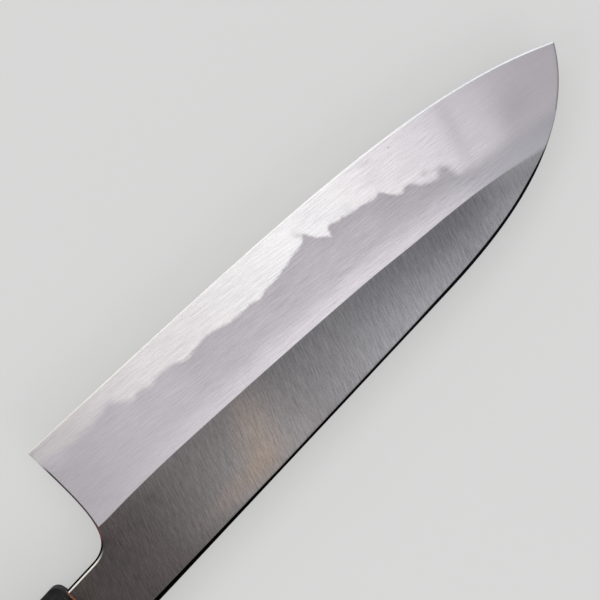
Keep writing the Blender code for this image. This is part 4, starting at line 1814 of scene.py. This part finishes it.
@dataclass(frozen=True)
class Studio:
    """The floor, the lights and the camera."""

    view_centre: Place = (0.0673, 0.00265, 0.011)
    view_turn: float = math.radians(-46.9)
    view_distance: float = 0.6
    view_width: float = 0.15266
    floor_size: float = 6.0
    floor_colour: Colour = (0.80, 0.80, 0.79)
    floor_tones: Point = (0.985, 1.0)  # darkest and lightest share of it
    floor_glow: float = 0.5  # share of its look that needs no light
    world_colour: Colour = (0.97, 0.985, 1.0)
    world_glow: float = 0.5
    wall_colour: Colour = (0.605, 0.61, 0.60)  # as the floor looks from the camera
    lamps: tuple[Lamp, ...] = (
        Lamp("overhead_softbox", (0.12, 0.06, 1.05), (0.44, 0.5), 1.0),
        Lamp("edge_fill", (0.05, 0.68, 1.0), (0.5, 0.4), 1.15),
        Lamp("spine_fill", (-0.1, -1.0, 0.75), (0.7, 0.5), 1.6),
        Lamp("butt_fill", (-1.0, 0.2, 0.8), (0.6, 0.6), 1.4),
        Lamp("tip_glint", (0.55, 0.6, 1.0), (0.4, 0.3), 1.3),
    )

    def build_floor(self) -> None:
        """Lays the pale floor, half of whose colour glows for the rays that show a background."""
        half = self.floor_size / 2
        mesh = bpy.data.meshes.new("floor")
        corners = [(x * half, y * half, 0.0) for x, y in ((-1, -1), (1, -1), (1, 1), (-1, 1))]
        mesh.from_pydata(corners, [], [(0, 1, 2, 3)])
        floor = into_scene("floor", mesh)
        made = bpy.data.materials.new("pale_floor")
        made.use_nodes = True
        made.node_tree.nodes.clear()
        bench = Bench(made.node_tree)
        cloud = Flow(bench, bench.add("TexCoord").outputs["Object"]).noise(5.0, 3.0)
        colour = bench.toned(self.floor_colour, cloud.span(0.3, 0.7, *self.floor_tones, soft=False))
        seen, gloss, glass = self.rays(bench, "Camera", "Glossy", "Transmission")
        seen = bench.math("MAXIMUM", bench.math("MAXIMUM", seen, gloss), glass)
        matt, glow = bench.flow("BsdfDiffuse", colour), bench.flow("Emission", colour)
        mixed = bench.flow("MixShader", seen * self.floor_glow, matt, glow)
        bench.feed(bench.add("OutputMaterial"), Surface=mixed)
        mesh.materials.append(made)

    @staticmethod
    def rays(bench: Bench, *kinds: str) -> list[Flow]:
        """1 for the rays of each kind, else 0."""
        path = bench.add("LightPath")
        return [Flow(bench, path.outputs[f"Is {kind} Ray"]) for kind in kinds]

    def build_world(self) -> None:
        """Sets the even light of the room, with a pale wall for the camera."""
        world = bpy.data.worlds.new("studio_room")
        world.use_nodes = True
        bench = Bench(world.node_tree)
        nodes = world.node_tree.nodes
        light = bench.feed(nodes["Background"], Color=self.world_colour, Strength=self.world_glow)
        wall = bench.flow("Background", self.wall_colour)
        mixed = bench.flow("MixShader", *self.rays(bench, "Camera"), light, wall)
        bench.feed(nodes["World Output"], Surface=mixed)
        bpy.context.scene.world = world

    def build_camera(self) -> None:
        """Sets the camera over the left face, turned as in the photograph."""
        data = bpy.data.cameras.new("camera")
        data.sensor_width = 36.0
        data.lens = data.sensor_width * self.view_distance / self.view_width
        camera = into_scene("camera", data)
        camera.location = Vector(self.view_centre) + Vector((0.0, 0.0, self.view_distance))
        camera.rotation_euler = (0.0, 0.0, self.view_turn)
        bpy.context.scene.camera = camera

    def build(self) -> None:
        """Builds all of the studio."""
        self.build_floor()
        self.build_world()
        for lamp in self.lamps:
            lamp.switch_on(Vector(self.view_centre))
        self.build_camera()
        bpy.context.scene.view_settings.view_transform = "Standard"


def main() -> None:
    """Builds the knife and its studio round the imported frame."""
    logging.basicConfig(level=logging.INFO, format="%(name)s: %(message)s")
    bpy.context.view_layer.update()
    blade_shape = BladeShape()
    maker = PieceMaker(blade_shape)
    groups = GroupMaker()

    blade = Blade(blade_shape, maker)
    soft_steel = SteelFinish("soft_steel").material(groups)
    blade.build_core(SteelFinish("hard_steel").material(groups))
    for side in Side:
        blade.build_cladding(side, soft_steel)

    handle = Handle(HandleShape(), maker)
    handle.build_ferrule(HornFinish().material(groups, maker.origin))
    magnolia = WoodFinish("magnolia_wood", (0.56, 0.40, 0.235), (0.44, 0.295, 0.155), (0.26, 0.165, 0.085))
    handle.build_grip(magnolia.material(groups, maker.origin))
    handle.build_seal(ResinFinish().material(groups, maker.origin))
    dowel = WoodFinish(
        "dowel_wood", (0.60, 0.42, 0.25), (0.50, 0.34, 0.19), (0.30, 0.19, 0.1), ring=1.8, rough=0.62
    )
    for slot in bpy.data.objects["tenon_dowel"].material_slots:
        slot.material = dowel.material(groups, maker.origin)
    LOG.info("tenon_dowel: its own solid, with a new finish")

    Studio().build()


if __name__ == "__main__":
    main()
